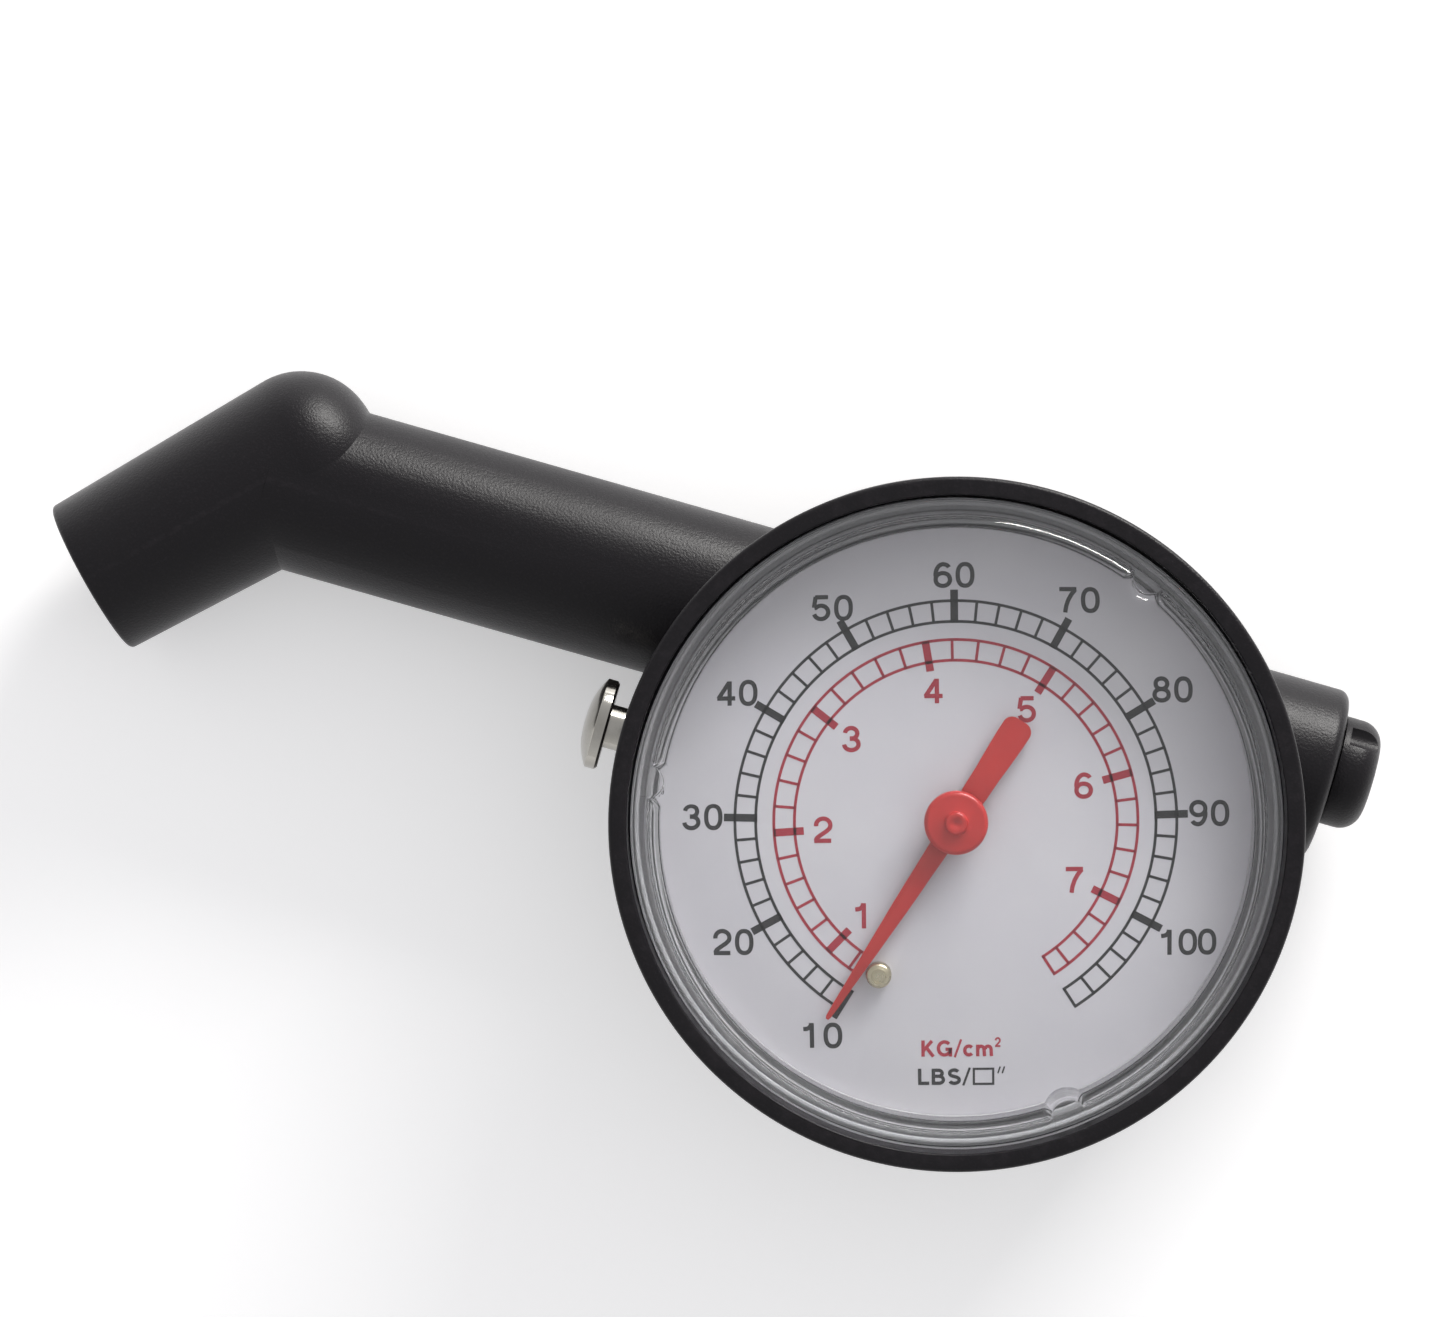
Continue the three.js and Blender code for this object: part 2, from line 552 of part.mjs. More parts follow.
gauge.add(piece('gauge_body', gaugeBody(), 'blackPlastic'));
gauge.add(piece('lens', lens(), 'clearPlastic'));
gauge.add(piece('lens_gasket', lensGasket(), 'greyRubber'));
gauge.add(piece('dial_plate', dialPlate(), 'dialPaint'));
gauge.add(piece('stop_pin', stopPin(), 'brass'));
gauge.add(piece('pointer', pointerBlade(), 'redPlastic'));
gauge.add(piece('pointer_hub', pointerHub(), 'redPlastic'));
gauge.add(piece('pinion_arbor', pinionArbor(), 'steel'));
gauge.add(piece('sector_gear', sectorGear(), 'brass'));
gauge.add(piece('sector_arbor', sectorArbor(), 'steel'));
gauge.add(piece('sector_link_pin', linkPin(SECTOR_PIN_AT, 18.5, 20), 'steel'));
gauge.add(piece('link', linkBar(), 'brass'));
gauge.add(piece('tip_link_pin', linkPin(TIP_PIN_AT, 17.7, 20), 'steel'));
gauge.add(piece('bourdon_tube', bourdonTube(), 'bronze'));
gauge.add(piece('bourdon_tip', bourdonTip(), 'brass'));
gauge.add(piece('manifold', manifold(), 'brass'));
gauge.add(piece('back_screw_left', backScrew(-1), 'steel'));
gauge.add(piece('back_screw_right', backScrew(1), 'steel'));
gauge.add(piece('movement_back_plate', movementPlate(12.4, PLATE.backZ), 'brass'));
gauge.add(piece('movement_front_plate', movementPlate(5.6, PLATE.frontZ), 'brass'));
PILLARS.forEach((at, i) => gauge.add(piece(`movement_pillar_${i + 1}`, pillar(at), 'brass')));
gauge.add(piece('movement_screw_left', movementScrew(-1), 'steel'));
gauge.add(piece('movement_screw_right', movementScrew(1), 'steel'));
gauge.add(piece('hairspring', hairspring(), 'bronze'));

const port = new THREE.Group();
port.position.set(0, BARREL.y, 0);
port.add(piece('manifold_o_ring', ring(2, 2.4, 11.7, 12.4, 20), 'rubber'));
gauge.add(port);

const release = new THREE.Group();
release.applyMatrix4(RELEASE_FRAME);
release.add(piece('release_button', releaseButton(), 'nickel'));
release.add(piece('release_seal', releaseSeal(), 'rubber'));
release.add(piece('release_valve_body', releaseValveBody(), 'brass'));
const releaseSpring = new Helix(1.6, -22.7, -18.95, 4);
release.add(piece('release_spring', swept(releaseSpring, wireSection(0.18, 5), 36), 'steel'));
gauge.add(release);

const chuck = new THREE.Group();
chuck.applyMatrix4(CHUCK_FRAME);
chuck.add(piece('chuck_nozzle', chuckNozzle(), 'nickel'));
chuck.add(piece('chuck_seal', ring(2, 5.1, 5.5, 7.6, 20), 'rubber'));
chuck.add(piece('valve_seat', valveSeat(), 'brass'));
chuck.add(piece('check_plunger', checkPlunger(), 'brass'));
chuck.add(piece('plunger_seal', ring(1.4, 2.6, 9.8, 10.1, 20), 'rubber'));
const checkSpring = new Helix(2.6, 13.1, 14.75, 2.5);
chuck.add(piece('check_spring', swept(checkSpring, wireSection(0.18, 5), 24), 'steel'));
gauge.add(chuck);

const tail = new THREE.Group();
tail.applyMatrix4(axisFrame([BARREL.tailX + GAP - PLUG.collar, PLUG.y, BARREL.z], [1, 0, 0]));
tail.add(piece('tail_plug', tailPlug(), 'blackPlastic'));
tail.add(piece('tail_o_ring', ring(2.9, 3.75, 4.75, 5.75, 16), 'rubber'));
gauge.add(tail);

export default gauge;
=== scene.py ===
# %% [markdown]
# # A dial tyre pressure gauge
#
# A round black case, moulded in one with an air barrel and an angled chuck, holds a printed dial
# under a clear lens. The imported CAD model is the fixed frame: it gives every place and size, and
# the pieces made here take the place of its plain solids and ride on its bodies.

# %% Load the frame
import math

import bmesh
import bpy
from mathutils import Matrix, Vector


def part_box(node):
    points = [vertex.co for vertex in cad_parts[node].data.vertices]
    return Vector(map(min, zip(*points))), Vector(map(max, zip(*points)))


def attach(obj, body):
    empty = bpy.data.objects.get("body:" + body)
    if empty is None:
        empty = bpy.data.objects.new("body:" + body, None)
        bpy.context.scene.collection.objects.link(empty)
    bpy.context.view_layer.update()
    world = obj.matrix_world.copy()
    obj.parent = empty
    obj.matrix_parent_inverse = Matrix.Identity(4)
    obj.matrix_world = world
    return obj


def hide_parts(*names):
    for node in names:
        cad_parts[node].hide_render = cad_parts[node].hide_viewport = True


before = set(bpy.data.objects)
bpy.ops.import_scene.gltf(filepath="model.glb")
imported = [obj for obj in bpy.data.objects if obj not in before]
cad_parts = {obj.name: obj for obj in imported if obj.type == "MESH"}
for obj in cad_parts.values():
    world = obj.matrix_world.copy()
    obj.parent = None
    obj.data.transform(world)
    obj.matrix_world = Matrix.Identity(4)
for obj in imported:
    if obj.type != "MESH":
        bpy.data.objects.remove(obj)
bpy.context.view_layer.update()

MM = 0.001
print("nodes in the frame:", len(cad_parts))

# %% [markdown]
# ## Places taken from the frame
#
# Every piece is drawn in millimetres about the axis it was turned or moulded on. The axes come
# from the boxes of the CAD nodes, so a piece always lands where its solid is.

# %% Places and axes
def box_mm(node):
    low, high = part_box(node)
    return Vector(low) / MM, Vector(high) / MM


case_low, case_high = box_mm("gauge_body")
plug_low, plug_high = box_mm("tail_plug")
head_low, head_high = box_mm("release_button")
dial_low, dial_high = box_mm("dial_plate")
lens_low, lens_high = box_mm("lens")
port_low, port_high = box_mm("manifold_o_ring")

CASE_R = -case_low.y
RIM_Z = case_high.z
BARREL_Y = (port_low.y + port_high.y) / 2
BARREL_Z = (plug_low.z + plug_high.z) / 2
PLUG_Y = (plug_low.y + plug_high.y) / 2
BARREL_R = 7.75
TAIL_X = case_high.x
BEND_X = -66.05
DIAL_Z = dial_high.z
BUTTON_Y = (head_low.y + head_high.y) / 2
BUTTON_Z = (head_low.z + head_high.z) / 2


def axis_frame(origin, direction):
    """A matrix that carries local +Z onto a direction, with the local origin at a point in mm."""
    turn = Vector((0, 0, 1)).rotation_difference(Vector(direction)).to_matrix().to_4x4()
    return Matrix.Translation(Vector(origin)) @ turn


CHUCK_LENGTH = 18.5
MOUTH = Vector((BEND_X, BARREL_Y, BARREL_Z)) - CHUCK_LENGTH * Vector((1, 1, 0)).normalized()
CHUCK_FRAME = axis_frame(MOUTH, (1, 1, 0))
BARREL_FRAME = axis_frame((0, BARREL_Y, BARREL_Z), (1, 0, 0))
BUTTON_FRAME = axis_frame((0, BUTTON_Y, BUTTON_Z), (1, 0, 0))
PLUG_FRAME = axis_frame((TAIL_X - 7, PLUG_Y, BARREL_Z), (1, 0, 0))
print("case radius", round(CASE_R, 2), "barrel axis", round(BARREL_Y, 2), round(BARREL_Z, 2))

# %% [markdown]
# ## Camera
#
# The gauge is seen almost straight down, from a little towards the barrel's side, through a long
# lens, with the barrel falling to the right by about 16 degrees.

# %% Camera
camera_data = bpy.data.cameras.new("camera")
camera_data.lens = 174.3
camera_data.sensor_width = 36
camera_data.clip_start = 0.01
camera = bpy.data.objects.new("camera", camera_data)
camera.location = (-0.0232, 0.0409, 0.628)
camera.rotation_euler = [math.radians(a) for a in (-2.988, 0.861, 15.877)]
bpy.context.scene.collection.objects.link(camera)
bpy.context.scene.camera = camera
print("camera height", camera.location.z)

# %% [markdown]
# ## Shape helpers
#
# Most pieces are bodies of revolution, as they are on the real gauge: turned, moulded round, or
# pressed from round stock. `turned` spins a profile of (radius, height) points listed up its outer
# side. Round corners are arcs, so a profile stays a short list. `cut` and `join` are exact booleans.

# %% Profiles and bodies of revolution
def arc(cx, cy, r, start, end, steps=6):
    """Points of a circular arc, for round corners of profiles and outlines."""
    turns = [math.radians(start + (end - start) * i / steps) for i in range(steps + 1)]
    return [(cx + r * math.cos(t), cy + r * math.sin(t)) for t in turns]


def new_object(name, mesh):
    obj = bpy.data.objects.new(name, mesh)
    bpy.context.scene.collection.objects.link(obj)
    return obj


def mesh_object(name, verts, faces, place=None):
    """An object from points in millimetres, put in its place and turned into metres."""
    matrix = place or Matrix.Identity(4)
    mesh = bpy.data.meshes.new(name)
    mesh.from_pydata([(matrix @ Vector(v)) * MM for v in verts], [], faces)
    mesh.validate()
    return new_object(name, mesh)


def turned(name, profile, place=None, steps=128):
    """Spins a profile about local Z. A point on the axis becomes one vertex."""
    verts, rows, faces = [], [], []
    for r, z in profile:
        if r < 1e-6:
            rows.append([len(verts)] * steps)
            verts.append((0, 0, z))
            continue
        rows.append(list(range(len(verts), len(verts) + steps)))
        for i in range(steps):
            t = 2 * math.pi * i / steps
            verts.append((r * math.cos(t), r * math.sin(t), z))
    pairs = list(zip(rows, rows[1:]))
    closed = profile[0] != profile[-1] and profile[0][0] > 1e-6
    if closed:
        pairs.append((rows[-1], rows[0]))
    for low, high in pairs:
        for i in range(steps):
            j = (i + 1) % steps
            corners = []
            for v in (low[i], low[j], high[j], high[i]):
                if v not in corners:
                    corners.append(v)
            if len(corners) > 2:
                faces.append(corners)
    return mesh_object(name, verts, faces, place)


def lofted(name, rings):
    """Joins rings of points, all of one length. The first and the last ring are single points."""
    n = len(rings[1])
    verts = [rings[0][0]] + [p for ring in rings[1:-1] for p in ring] + [rings[-1][0]]
    faces = [(0, 1 + (i + 1) % n, 1 + i) for i in range(n)]
    for k in range(len(rings) - 3):
        low, high = 1 + k * n, 1 + (k + 1) * n
        faces += [(low + i, low + (i + 1) % n, high + (i + 1) % n, high + i) for i in range(n)]
    last = len(verts) - 1
    faces += [(last - n + i, last - n + (i + 1) % n, last) for i in range(n)]
    return mesh_object(name, verts, faces)


def prism(name, outline, z0, z1, place=None):
    """A flat outline of (x, y) points, given a thickness."""
    n = len(outline)
    verts = [(x, y, z0) for x, y in outline] + [(x, y, z1) for x, y in outline]
    faces = [list(range(n - 1, -1, -1)), list(range(n, 2 * n))]
    faces += [[i, (i + 1) % n, n + (i + 1) % n, n + i] for i in range(n)]
    return mesh_object(name, verts, faces, place)


# %% Joining, cutting and rounding
def baked(obj):
    """Applies the object's modifiers, so that its mesh is the final shape."""
    shape = obj.evaluated_get(bpy.context.evaluated_depsgraph_get())
    mesh = bpy.data.meshes.new_from_object(shape)
    obj.modifiers.clear()
    obj.data = mesh
    return obj


def boolean(target, tools, operation):
    for tool in tools:
        step = target.modifiers.new("step", "BOOLEAN")
        step.operation = operation
        step.solver = "EXACT"
        step.object = tool
        baked(target)
        bpy.data.objects.remove(tool)
    return target


def join(target, *tools):
    return boolean(target, tools, "UNION")


def cut(target, *tools):
    return boolean(target, tools, "DIFFERENCE")


def rounded(obj, width, segments=3, angle=40):
    """Rounds the sharp edges with real geometry."""
    edge = obj.modifiers.new("edge", "BEVEL")
    edge.width = width * MM
    edge.segments = segments
    edge.limit_method = "ANGLE"
    edge.angle_limit = math.radians(angle)
    edge.use_clamp_overlap = True
    return baked(obj)


def merged(name, objects):
    """Gathers several objects into one, as one print or one casting."""
    mesh = bmesh.new()
    for obj in objects:
        mesh.from_mesh(obj.data)
        bpy.data.objects.remove(obj)
    data = bpy.data.meshes.new(name)
    mesh.to_mesh(data)
    mesh.free()
    return new_object(name, data)


def place_piece(obj, body, material, nodes=(), smooth=38):
    """Gives a piece its finish, its body and the CAD nodes that it stands for."""
    obj.data.materials.clear()
    obj.data.materials.append(material)
    obj.data.shade_smooth()
    obj.data.set_sharp_from_angle(angle=math.radians(smooth))
    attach(obj, body)
    if nodes:
        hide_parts(*nodes)
    print(obj.name, "has", len(obj.data.polygons), "faces")
    return obj

# %% [markdown]
# ## Shader groups
#
# Effects that several finishes share are node groups. Each gives out a height, a mask or a colour
# that changes over the surface, and the Principled shader stays in the material. Texture sizes
# are in metres, because all meshes are.

# %% A small kit for building node groups
def new_group(name, inputs, outputs):
    """An empty shader group with float inputs (name: default) and float outputs."""
    group = bpy.data.node_groups.new(name, "ShaderNodeTree")
    for title, value in inputs.items():
        socket = group.interface.new_socket(title, in_out="INPUT", socket_type="NodeSocketFloat")
        socket.default_value = value
    for title in outputs:
        group.interface.new_socket(title, in_out="OUTPUT", socket_type="NodeSocketFloat")
    return group, group.nodes.new("NodeGroupInput"), group.nodes.new("NodeGroupOutput")


def node(tree, kind, **settings):
    made = tree.nodes.new(kind)
    for name, value in settings.items():
        setattr(made, name, value)
    return made


def maths(tree, operation, a, b=None):
    """A Math node whose inputs are sockets or plain numbers."""
    made = node(tree, "ShaderNodeMath", operation=operation)
    for socket, value in zip(made.inputs, (a, b)):
        if value is None:
            continue
        if isinstance(value, (int, float)):
            socket.default_value = value
        else:
            tree.links.new(value, socket)
    return made.outputs[0]


def span(tree, value, from_low, from_high, to_low, to_high):
    """Maps one range of a value onto another, with the ends held."""
    made = node(tree, "ShaderNodeMapRange")
    tree.links.new(value, made.inputs["Value"])
    ends = {"From Min": from_low, "From Max": from_high, "To Min": to_low, "To Max": to_high}
    for title, number in ends.items():
        made.inputs[title].default_value = number
    return made.outputs["Result"]


def noise(tree, vector, scale, detail=2.0, roughness=0.5):
    made = node(tree, "ShaderNodeTexNoise")
    tree.links.new(vector, made.inputs["Vector"])
    if isinstance(scale, (int, float)):
        made.inputs["Scale"].default_value = scale
    else:
        tree.links.new(scale, made.inputs["Scale"])
    made.inputs["Detail"].default_value = detail
    made.inputs["Roughness"].default_value = roughness
    return made.outputs["Fac"]


# %% Moulded grain: the fine eroded skin of a plastic moulding
grain, g_in, g_out = new_group("moulded_grain", {"Size": 0.00022, "Patchiness": 0.5}, ["Height", "Speckle"])
place = grain.nodes.new("ShaderNodeTexCoord").outputs["Object"]
fine = noise(grain, place, maths(grain, "DIVIDE", 1.0, g_in.outputs["Size"]), 3.0, 0.6)
coarse = noise(grain, place, 260.0, 2.0)
patches = maths(grain, "MULTIPLY", coarse, g_in.outputs["Patchiness"])
grain.links.new(maths(grain, "ADD", fine, maths(grain, "MULTIPLY", patches, 0.4)), g_out.inputs["Height"])
grain.links.new(span(grain, fine, 0.52, 0.7, 0.0, 1.0), g_out.inputs["Speckle"])

# %% Handling marks: broad smudges and a few hairline scuffs
handling_inputs = {"Smudge Size": 0.012, "Scuff Amount": 0.5}
handling, h_in, h_out = new_group("handling_marks", handling_inputs, ["Smudge", "Scuff"])
place = handling.nodes.new("ShaderNodeTexCoord").outputs["Object"]
smudge = noise(handling, place, maths(handling, "DIVIDE", 1.0, h_in.outputs["Smudge Size"]), 4.0, 0.62)
handling.links.new(span(handling, smudge, 0.35, 0.7, 0.0, 1.0), h_out.inputs["Smudge"])
stretch = node(handling, "ShaderNodeMapping")
stretch.inputs["Rotation"].default_value = (0.3, 0.5, 0.9)
stretch.inputs["Scale"].default_value = (180, 2600, 2600)
handling.links.new(place, stretch.inputs["Vector"])
hairline = span(handling, noise(handling, stretch.outputs["Vector"], 1.0, 1.0), 0.68, 0.74, 0.0, 1.0)
scuff = maths(handling, "MULTIPLY", hairline, h_in.outputs["Scuff Amount"])
handling.links.new(scuff, h_out.inputs["Scuff"])

# %% Edge wear: rubbed corners, broken up by noise
wear, w_in, w_out = new_group("edge_wear", {"Amount": 0.5}, ["Mask"])
curved = wear.nodes.new("ShaderNodeNewGeometry").outputs["Pointiness"]
place = wear.nodes.new("ShaderNodeTexCoord").outputs["Object"]
corner = span(wear, curved, 0.54, 0.62, 0.0, 1.0)
broken = span(wear, noise(wear, place, 1400.0, 3.0), 0.35, 0.65, 0.0, 1.0)
worn = maths(wear, "MULTIPLY", maths(wear, "MULTIPLY", corner, broken), w_in.outputs["Amount"])
wear.links.new(maths(wear, "MINIMUM", worn, 1.0), w_out.inputs["Mask"])

# %% Turning marks: fine rings left by a lathe, about local Z of the coordinates put in
turning, t_in, t_out = new_group("turning_marks", {"Pitch": 0.00012}, ["Height"])
socket = turning.interface.new_socket("Axis Coordinates", in_out="INPUT", socket_type="NodeSocketVector")
parts = node(turning, "ShaderNodeSeparateXYZ")
turning.links.new(t_in.outputs["Axis Coordinates"], parts.inputs[0])
across = maths(turning, "MULTIPLY", parts.outputs["X"], parts.outputs["X"])
along = maths(turning, "MULTIPLY", parts.outputs["Y"], parts.outputs["Y"])
radius = maths(turning, "SQRT", maths(turning, "ADD", across, along))
lay = node(turning, "ShaderNodeCombineXYZ")
turning.links.new(radius, lay.inputs["X"])
turning.links.new(parts.outputs["Z"], lay.inputs["Y"])
rings = noise(turning, lay.outputs[0], maths(turning, "DIVIDE", 1.0, t_in.outputs["Pitch"]), 2.0)
turning.links.new(rings, t_out.inputs["Height"])
print("shader groups:", [g.name for g in bpy.data.node_groups])

# %% [markdown]
# ## Finishes
#
# Each finish is one material. The colour and roughness vary through the groups above, and what is
# the same all over is set on the Principled shader itself.

# %% A material with its Principled shader
def new_material(name, colour, roughness, metallic=0.0, **fixed):
    material = bpy.data.materials.new(name)
    material.use_nodes = True
    material.diffuse_color = (*colour, 1)
    shader = material.node_tree.nodes["Principled BSDF"]
    shader.inputs["Base Color"].default_value = (*colour, 1)
    shader.inputs["Roughness"].default_value = roughness
    shader.inputs["Metallic"].default_value = metallic
    for title, value in fixed.items():
        shader.inputs[title.replace("_", " ")].default_value = value
    return material, material.node_tree, shader


def use_group(tree, group, **values):
    made = node(tree, "ShaderNodeGroup", node_tree=group)
    for title, value in values.items():
        made.inputs[title.replace("_", " ")].default_value = value
    return made


def bump(tree, shader, height, distance, strength=1.0):
    made = node(tree, "ShaderNodeBump")
    made.inputs["Distance"].default_value = distance
    made.inputs["Strength"].default_value = strength
    tree.links.new(height, made.inputs["Height"])
    tree.links.new(made.outputs["Normal"], shader.inputs["Normal"])


def two_tone(tree, factor, first, second):
    """A colour between two, by a mask."""
    made = node(tree, "ShaderNodeMix", data_type="RGBA")
    made.inputs["A"].default_value = (*first, 1)
    made.inputs["B"].default_value = (*second, 1)
    tree.links.new(factor, made.inputs["Factor"])
    return made.outputs["Result"]


def colour_between(tree, shader, mask, first, second):
    """Lets a mask choose the base colour between two."""
    tree.links.new(two_tone(tree, mask, first, second), shader.inputs["Base Color"])


# %% Black moulded plastic
black, tree, shader = new_material("black_plastic", (0.007, 0.006, 0.0075), 0.36, Specular_IOR_Level=0.24)
skin = use_group(tree, grain, Size=0.00022, Patchiness=0.6)
marks = use_group(tree, handling, Smudge_Size=0.014, Scuff_Amount=0.35)
edges = use_group(tree, wear, Amount=0.35)
dusted = maths(tree, "ADD", maths(tree, "MULTIPLY", skin.outputs["Speckle"], 0.35), edges.outputs["Mask"])
colour_between(tree, shader, dusted, (0.0065, 0.0055, 0.007), (0.018, 0.015, 0.018))
smooth_or_dull = span(tree, marks.outputs["Smudge"], 0, 1, 0.31, 0.41)
scuffed = maths(tree, "MULTIPLY", marks.outputs["Scuff"], 0.1)
tree.links.new(maths(tree, "ADD", smooth_or_dull, scuffed), shader.inputs["Roughness"])
bump(tree, shader, skin.outputs["Height"], 0.00004, 1.0)

# %% Clear lens plastic: light passes to the dial as through a window, and the surface keeps its gloss
clear, tree, shader = new_material("clear_plastic", (0.97, 0.98, 0.985), 0.015,
                                   IOR=1.49, Transmission_Weight=1.0)
marks = use_group(tree, handling, Smudge_Size=0.008, Scuff_Amount=0.6)
smeared = maths(tree, "MULTIPLY", marks.outputs["Smudge"], 0.02)
scuffed = maths(tree, "MULTIPLY", marks.outputs["Scuff"], 0.06)
tree.links.new(maths(tree, "ADD", smeared, scuffed), shader.inputs["Roughness"])
window = node(tree, "ShaderNodeBsdfTransparent")
window.inputs["Color"].default_value = (0.9, 0.91, 0.92, 1)
ray = node(tree, "ShaderNodeLightPath")
choice = node(tree, "ShaderNodeMixShader")
tree.links.new(ray.outputs["Is Shadow Ray"], choice.inputs["Fac"])
tree.links.new(shader.outputs[0], choice.inputs[1])
tree.links.new(window.outputs[0], choice.inputs[2])
tree.links.new(choice.outputs[0], tree.nodes["Material Output"].inputs["Surface"])

# %% Dial paint and its two printing inks
paper, tree, shader = new_material("dial_paint", (0.62, 0.6, 0.635), 0.5)
marks = use_group(tree, handling, Smudge_Size=0.016, Scuff_Amount=0.0)
skin = use_group(tree, grain, Size=0.00035, Patchiness=0.3)
colour_between(tree, shader, marks.outputs["Smudge"], (0.6, 0.58, 0.62), (0.64, 0.62, 0.65))
bump(tree, shader, skin.outputs["Height"], 0.00001, 0.3)

black_ink, tree, shader = new_material("black_ink", (0.012, 0.01, 0.012), 0.55)
skin = use_group(tree, grain, Size=0.0003)
colour_between(tree, shader, skin.outputs["Speckle"], (0.01, 0.009, 0.01), (0.028, 0.026, 0.028))

red_ink, tree, shader = new_material("red_ink", (0.34, 0.012, 0.03), 0.55)
skin = use_group(tree, grain, Size=0.0003)
colour_between(tree, shader, skin.outputs["Speckle"], (0.34, 0.012, 0.03), (0.42, 0.03, 0.05))

# %% Red pointer
red, tree, shader = new_material("red_paint", (0.45, 0.017, 0.014), 0.38)
skin = use_group(tree, grain, Size=0.0004)
marks = use_group(tree, handling, Smudge_Size=0.005, Scuff_Amount=0.3)
colour_between(tree, shader, marks.outputs["Smudge"], (0.43, 0.015, 0.013), (0.5, 0.022, 0.017))
tree.links.new(span(tree, skin.outputs["Speckle"], 0, 1, 0.34, 0.46), shader.inputs["Roughness"])
bump(tree, shader, skin.outputs["Height"], 0.00001, 0.4)

# %% Metals: nickel plate, brass, bronze tube and steel
def metal(name, colour, dull, roughness, pitch, axis=None, depth=0.000004):
    """Turned metal: fine rings about its axis, and tarnish that lies in broad patches."""
    material, tree, shader = new_material(name, colour, roughness, 1.0)
    marks = use_group(tree, handling, Smudge_Size=0.004, Scuff_Amount=0.4)
    colour_between(tree, shader, marks.outputs["Smudge"], colour, dull)
    polish = span(tree, marks.outputs["Smudge"], 0, 1, roughness * 0.75, roughness * 1.3)
    tree.links.new(polish, shader.inputs["Roughness"])
    coordinates = node(tree, "ShaderNodeTexCoord").outputs["Object"]
    turn = node(tree, "ShaderNodeMapping", vector_type="POINT")
    if axis is not None:
        inverse = axis.inverted()
        turn.inputs["Location"].default_value = inverse.translation * MM
        turn.inputs["Rotation"].default_value = inverse.to_euler()
    tree.links.new(coordinates, turn.inputs["Vector"])
    rings = use_group(tree, turning, Pitch=pitch)
    tree.links.new(turn.outputs["Vector"], rings.inputs["Axis Coordinates"])
    bump(tree, shader, rings.outputs["Height"], depth)
    return material


NICKEL_COLOUR = (0.47, 0.455, 0.42)
NICKEL_DULL = (0.38, 0.365, 0.33)
nickel = metal("nickel", NICKEL_COLOUR, NICKEL_DULL, 0.16, 0.00012, BUTTON_FRAME)
nozzle_nickel = metal("nozzle_nickel", NICKEL_COLOUR, NICKEL_DULL, 0.25, 0.00015, CHUCK_FRAME)
brass = metal("brass", (0.72, 0.55, 0.28), (0.5, 0.36, 0.17), 0.28, 0.0002)
pin_brass = metal("pin_brass", (0.66, 0.6, 0.45), (0.5, 0.44, 0.3), 0.26, 0.0001)
bronze = metal("bronze", (0.58, 0.36, 0.18), (0.36, 0.22, 0.12), 0.35, 0.0004)
steel = metal("steel", (0.5, 0.51, 0.53), (0.36, 0.37, 0.39), 0.3, 0.00015)

# %% Rubber
rubber, tree, shader = new_material("rubber", (0.012, 0.012, 0.012), 0.7)
skin = use_group(tree, grain, Size=0.00018)
colour_between(tree, shader, skin.outputs["Speckle"], (0.011, 0.011, 0.011), (0.028, 0.027, 0.026))
bump(tree, shader, skin.outputs["Height"], 0.00004, 0.5)

grey, tree, shader = new_material("grey_rubber", (0.4, 0.39, 0.4), 0.5)
skin = use_group(tree, grain, Size=0.00025)
colour_between(tree, shader, skin.outputs["Speckle"], (0.39, 0.38, 0.39), (0.44, 0.43, 0.44))
print("finishes:", len(bpy.data.materials))

# %% [markdown]
# ## Floor and studio light
#
# The gauge lies on a plain near-white sheet, which glows a little so that its shadows stay pale.
# One broad soft light stands beyond the barrel, low enough to draw a long highlight along it, and
# an even pale sky fills the rest.

# %% Floor
FLOOR_HALF = 1500
pale_sheet, tree, shader = new_material("pale_floor", (0.93, 0.925, 0.93), 0.8,
                                        Emission_Strength=0.3, Emission_Color=(1, 1, 1, 1))
skin = use_group(tree, grain, Size=0.0006, Patchiness=0.2)
colour_between(tree, shader, skin.outputs["Speckle"], (0.93, 0.925, 0.93), (0.91, 0.905, 0.91))
floor_corners = [(x * FLOOR_HALF, y * FLOOR_HALF, 0) for x, y in ((-1, -1), (1, -1), (1, 1), (-1, 1))]
floor = mesh_object("floor", floor_corners, [(0, 1, 2, 3)])
floor.data.materials.append(pale_sheet)


# %% Lights
def panel(name, place, aim, size, power, colour=(1, 1, 1)):
    """A soft rectangular light at a place, turned towards a point, both in metres."""
    data = bpy.data.lights.new(name, "AREA")
    data.shape = "RECTANGLE"
    data.size, data.size_y = size
    data.energy = power
    data.color = colour
    lamp = new_object(name, data)
    lamp.location = place
    lamp.rotation_euler = (Vector(aim) - Vector(place)).to_track_quat("-Z", "Y").to_euler()
    return lamp


KEY_PLACE = (0.1, 0.565, 0.18)
KEY_SIZE = (0.34, 0.16)
KEY_WATTS = 4.8
panel("key_light", KEY_PLACE, (0, 0.01, 0.01), KEY_SIZE, KEY_WATTS, (1, 0.985, 0.96))

world = bpy.data.worlds.new("studio")
world.use_nodes = True
sky = world.node_tree
height = node(sky, "ShaderNodeSeparateXYZ")
sky.links.new(node(sky, "ShaderNodeTexCoord").outputs["Generated"], height.inputs[0])
tint = two_tone(sky, span(sky, height.outputs["Z"], 0.0, 0.85, 0, 1), (0.7, 0.7, 0.7), (0.5, 0.5, 0.51))
sky.links.new(tint, sky.nodes["Background"].inputs["Color"])
sky.nodes["Background"].inputs["Strength"].default_value = 1.15
bpy.context.scene.world = world
bpy.context.scene.view_settings.view_transform = "Standard"

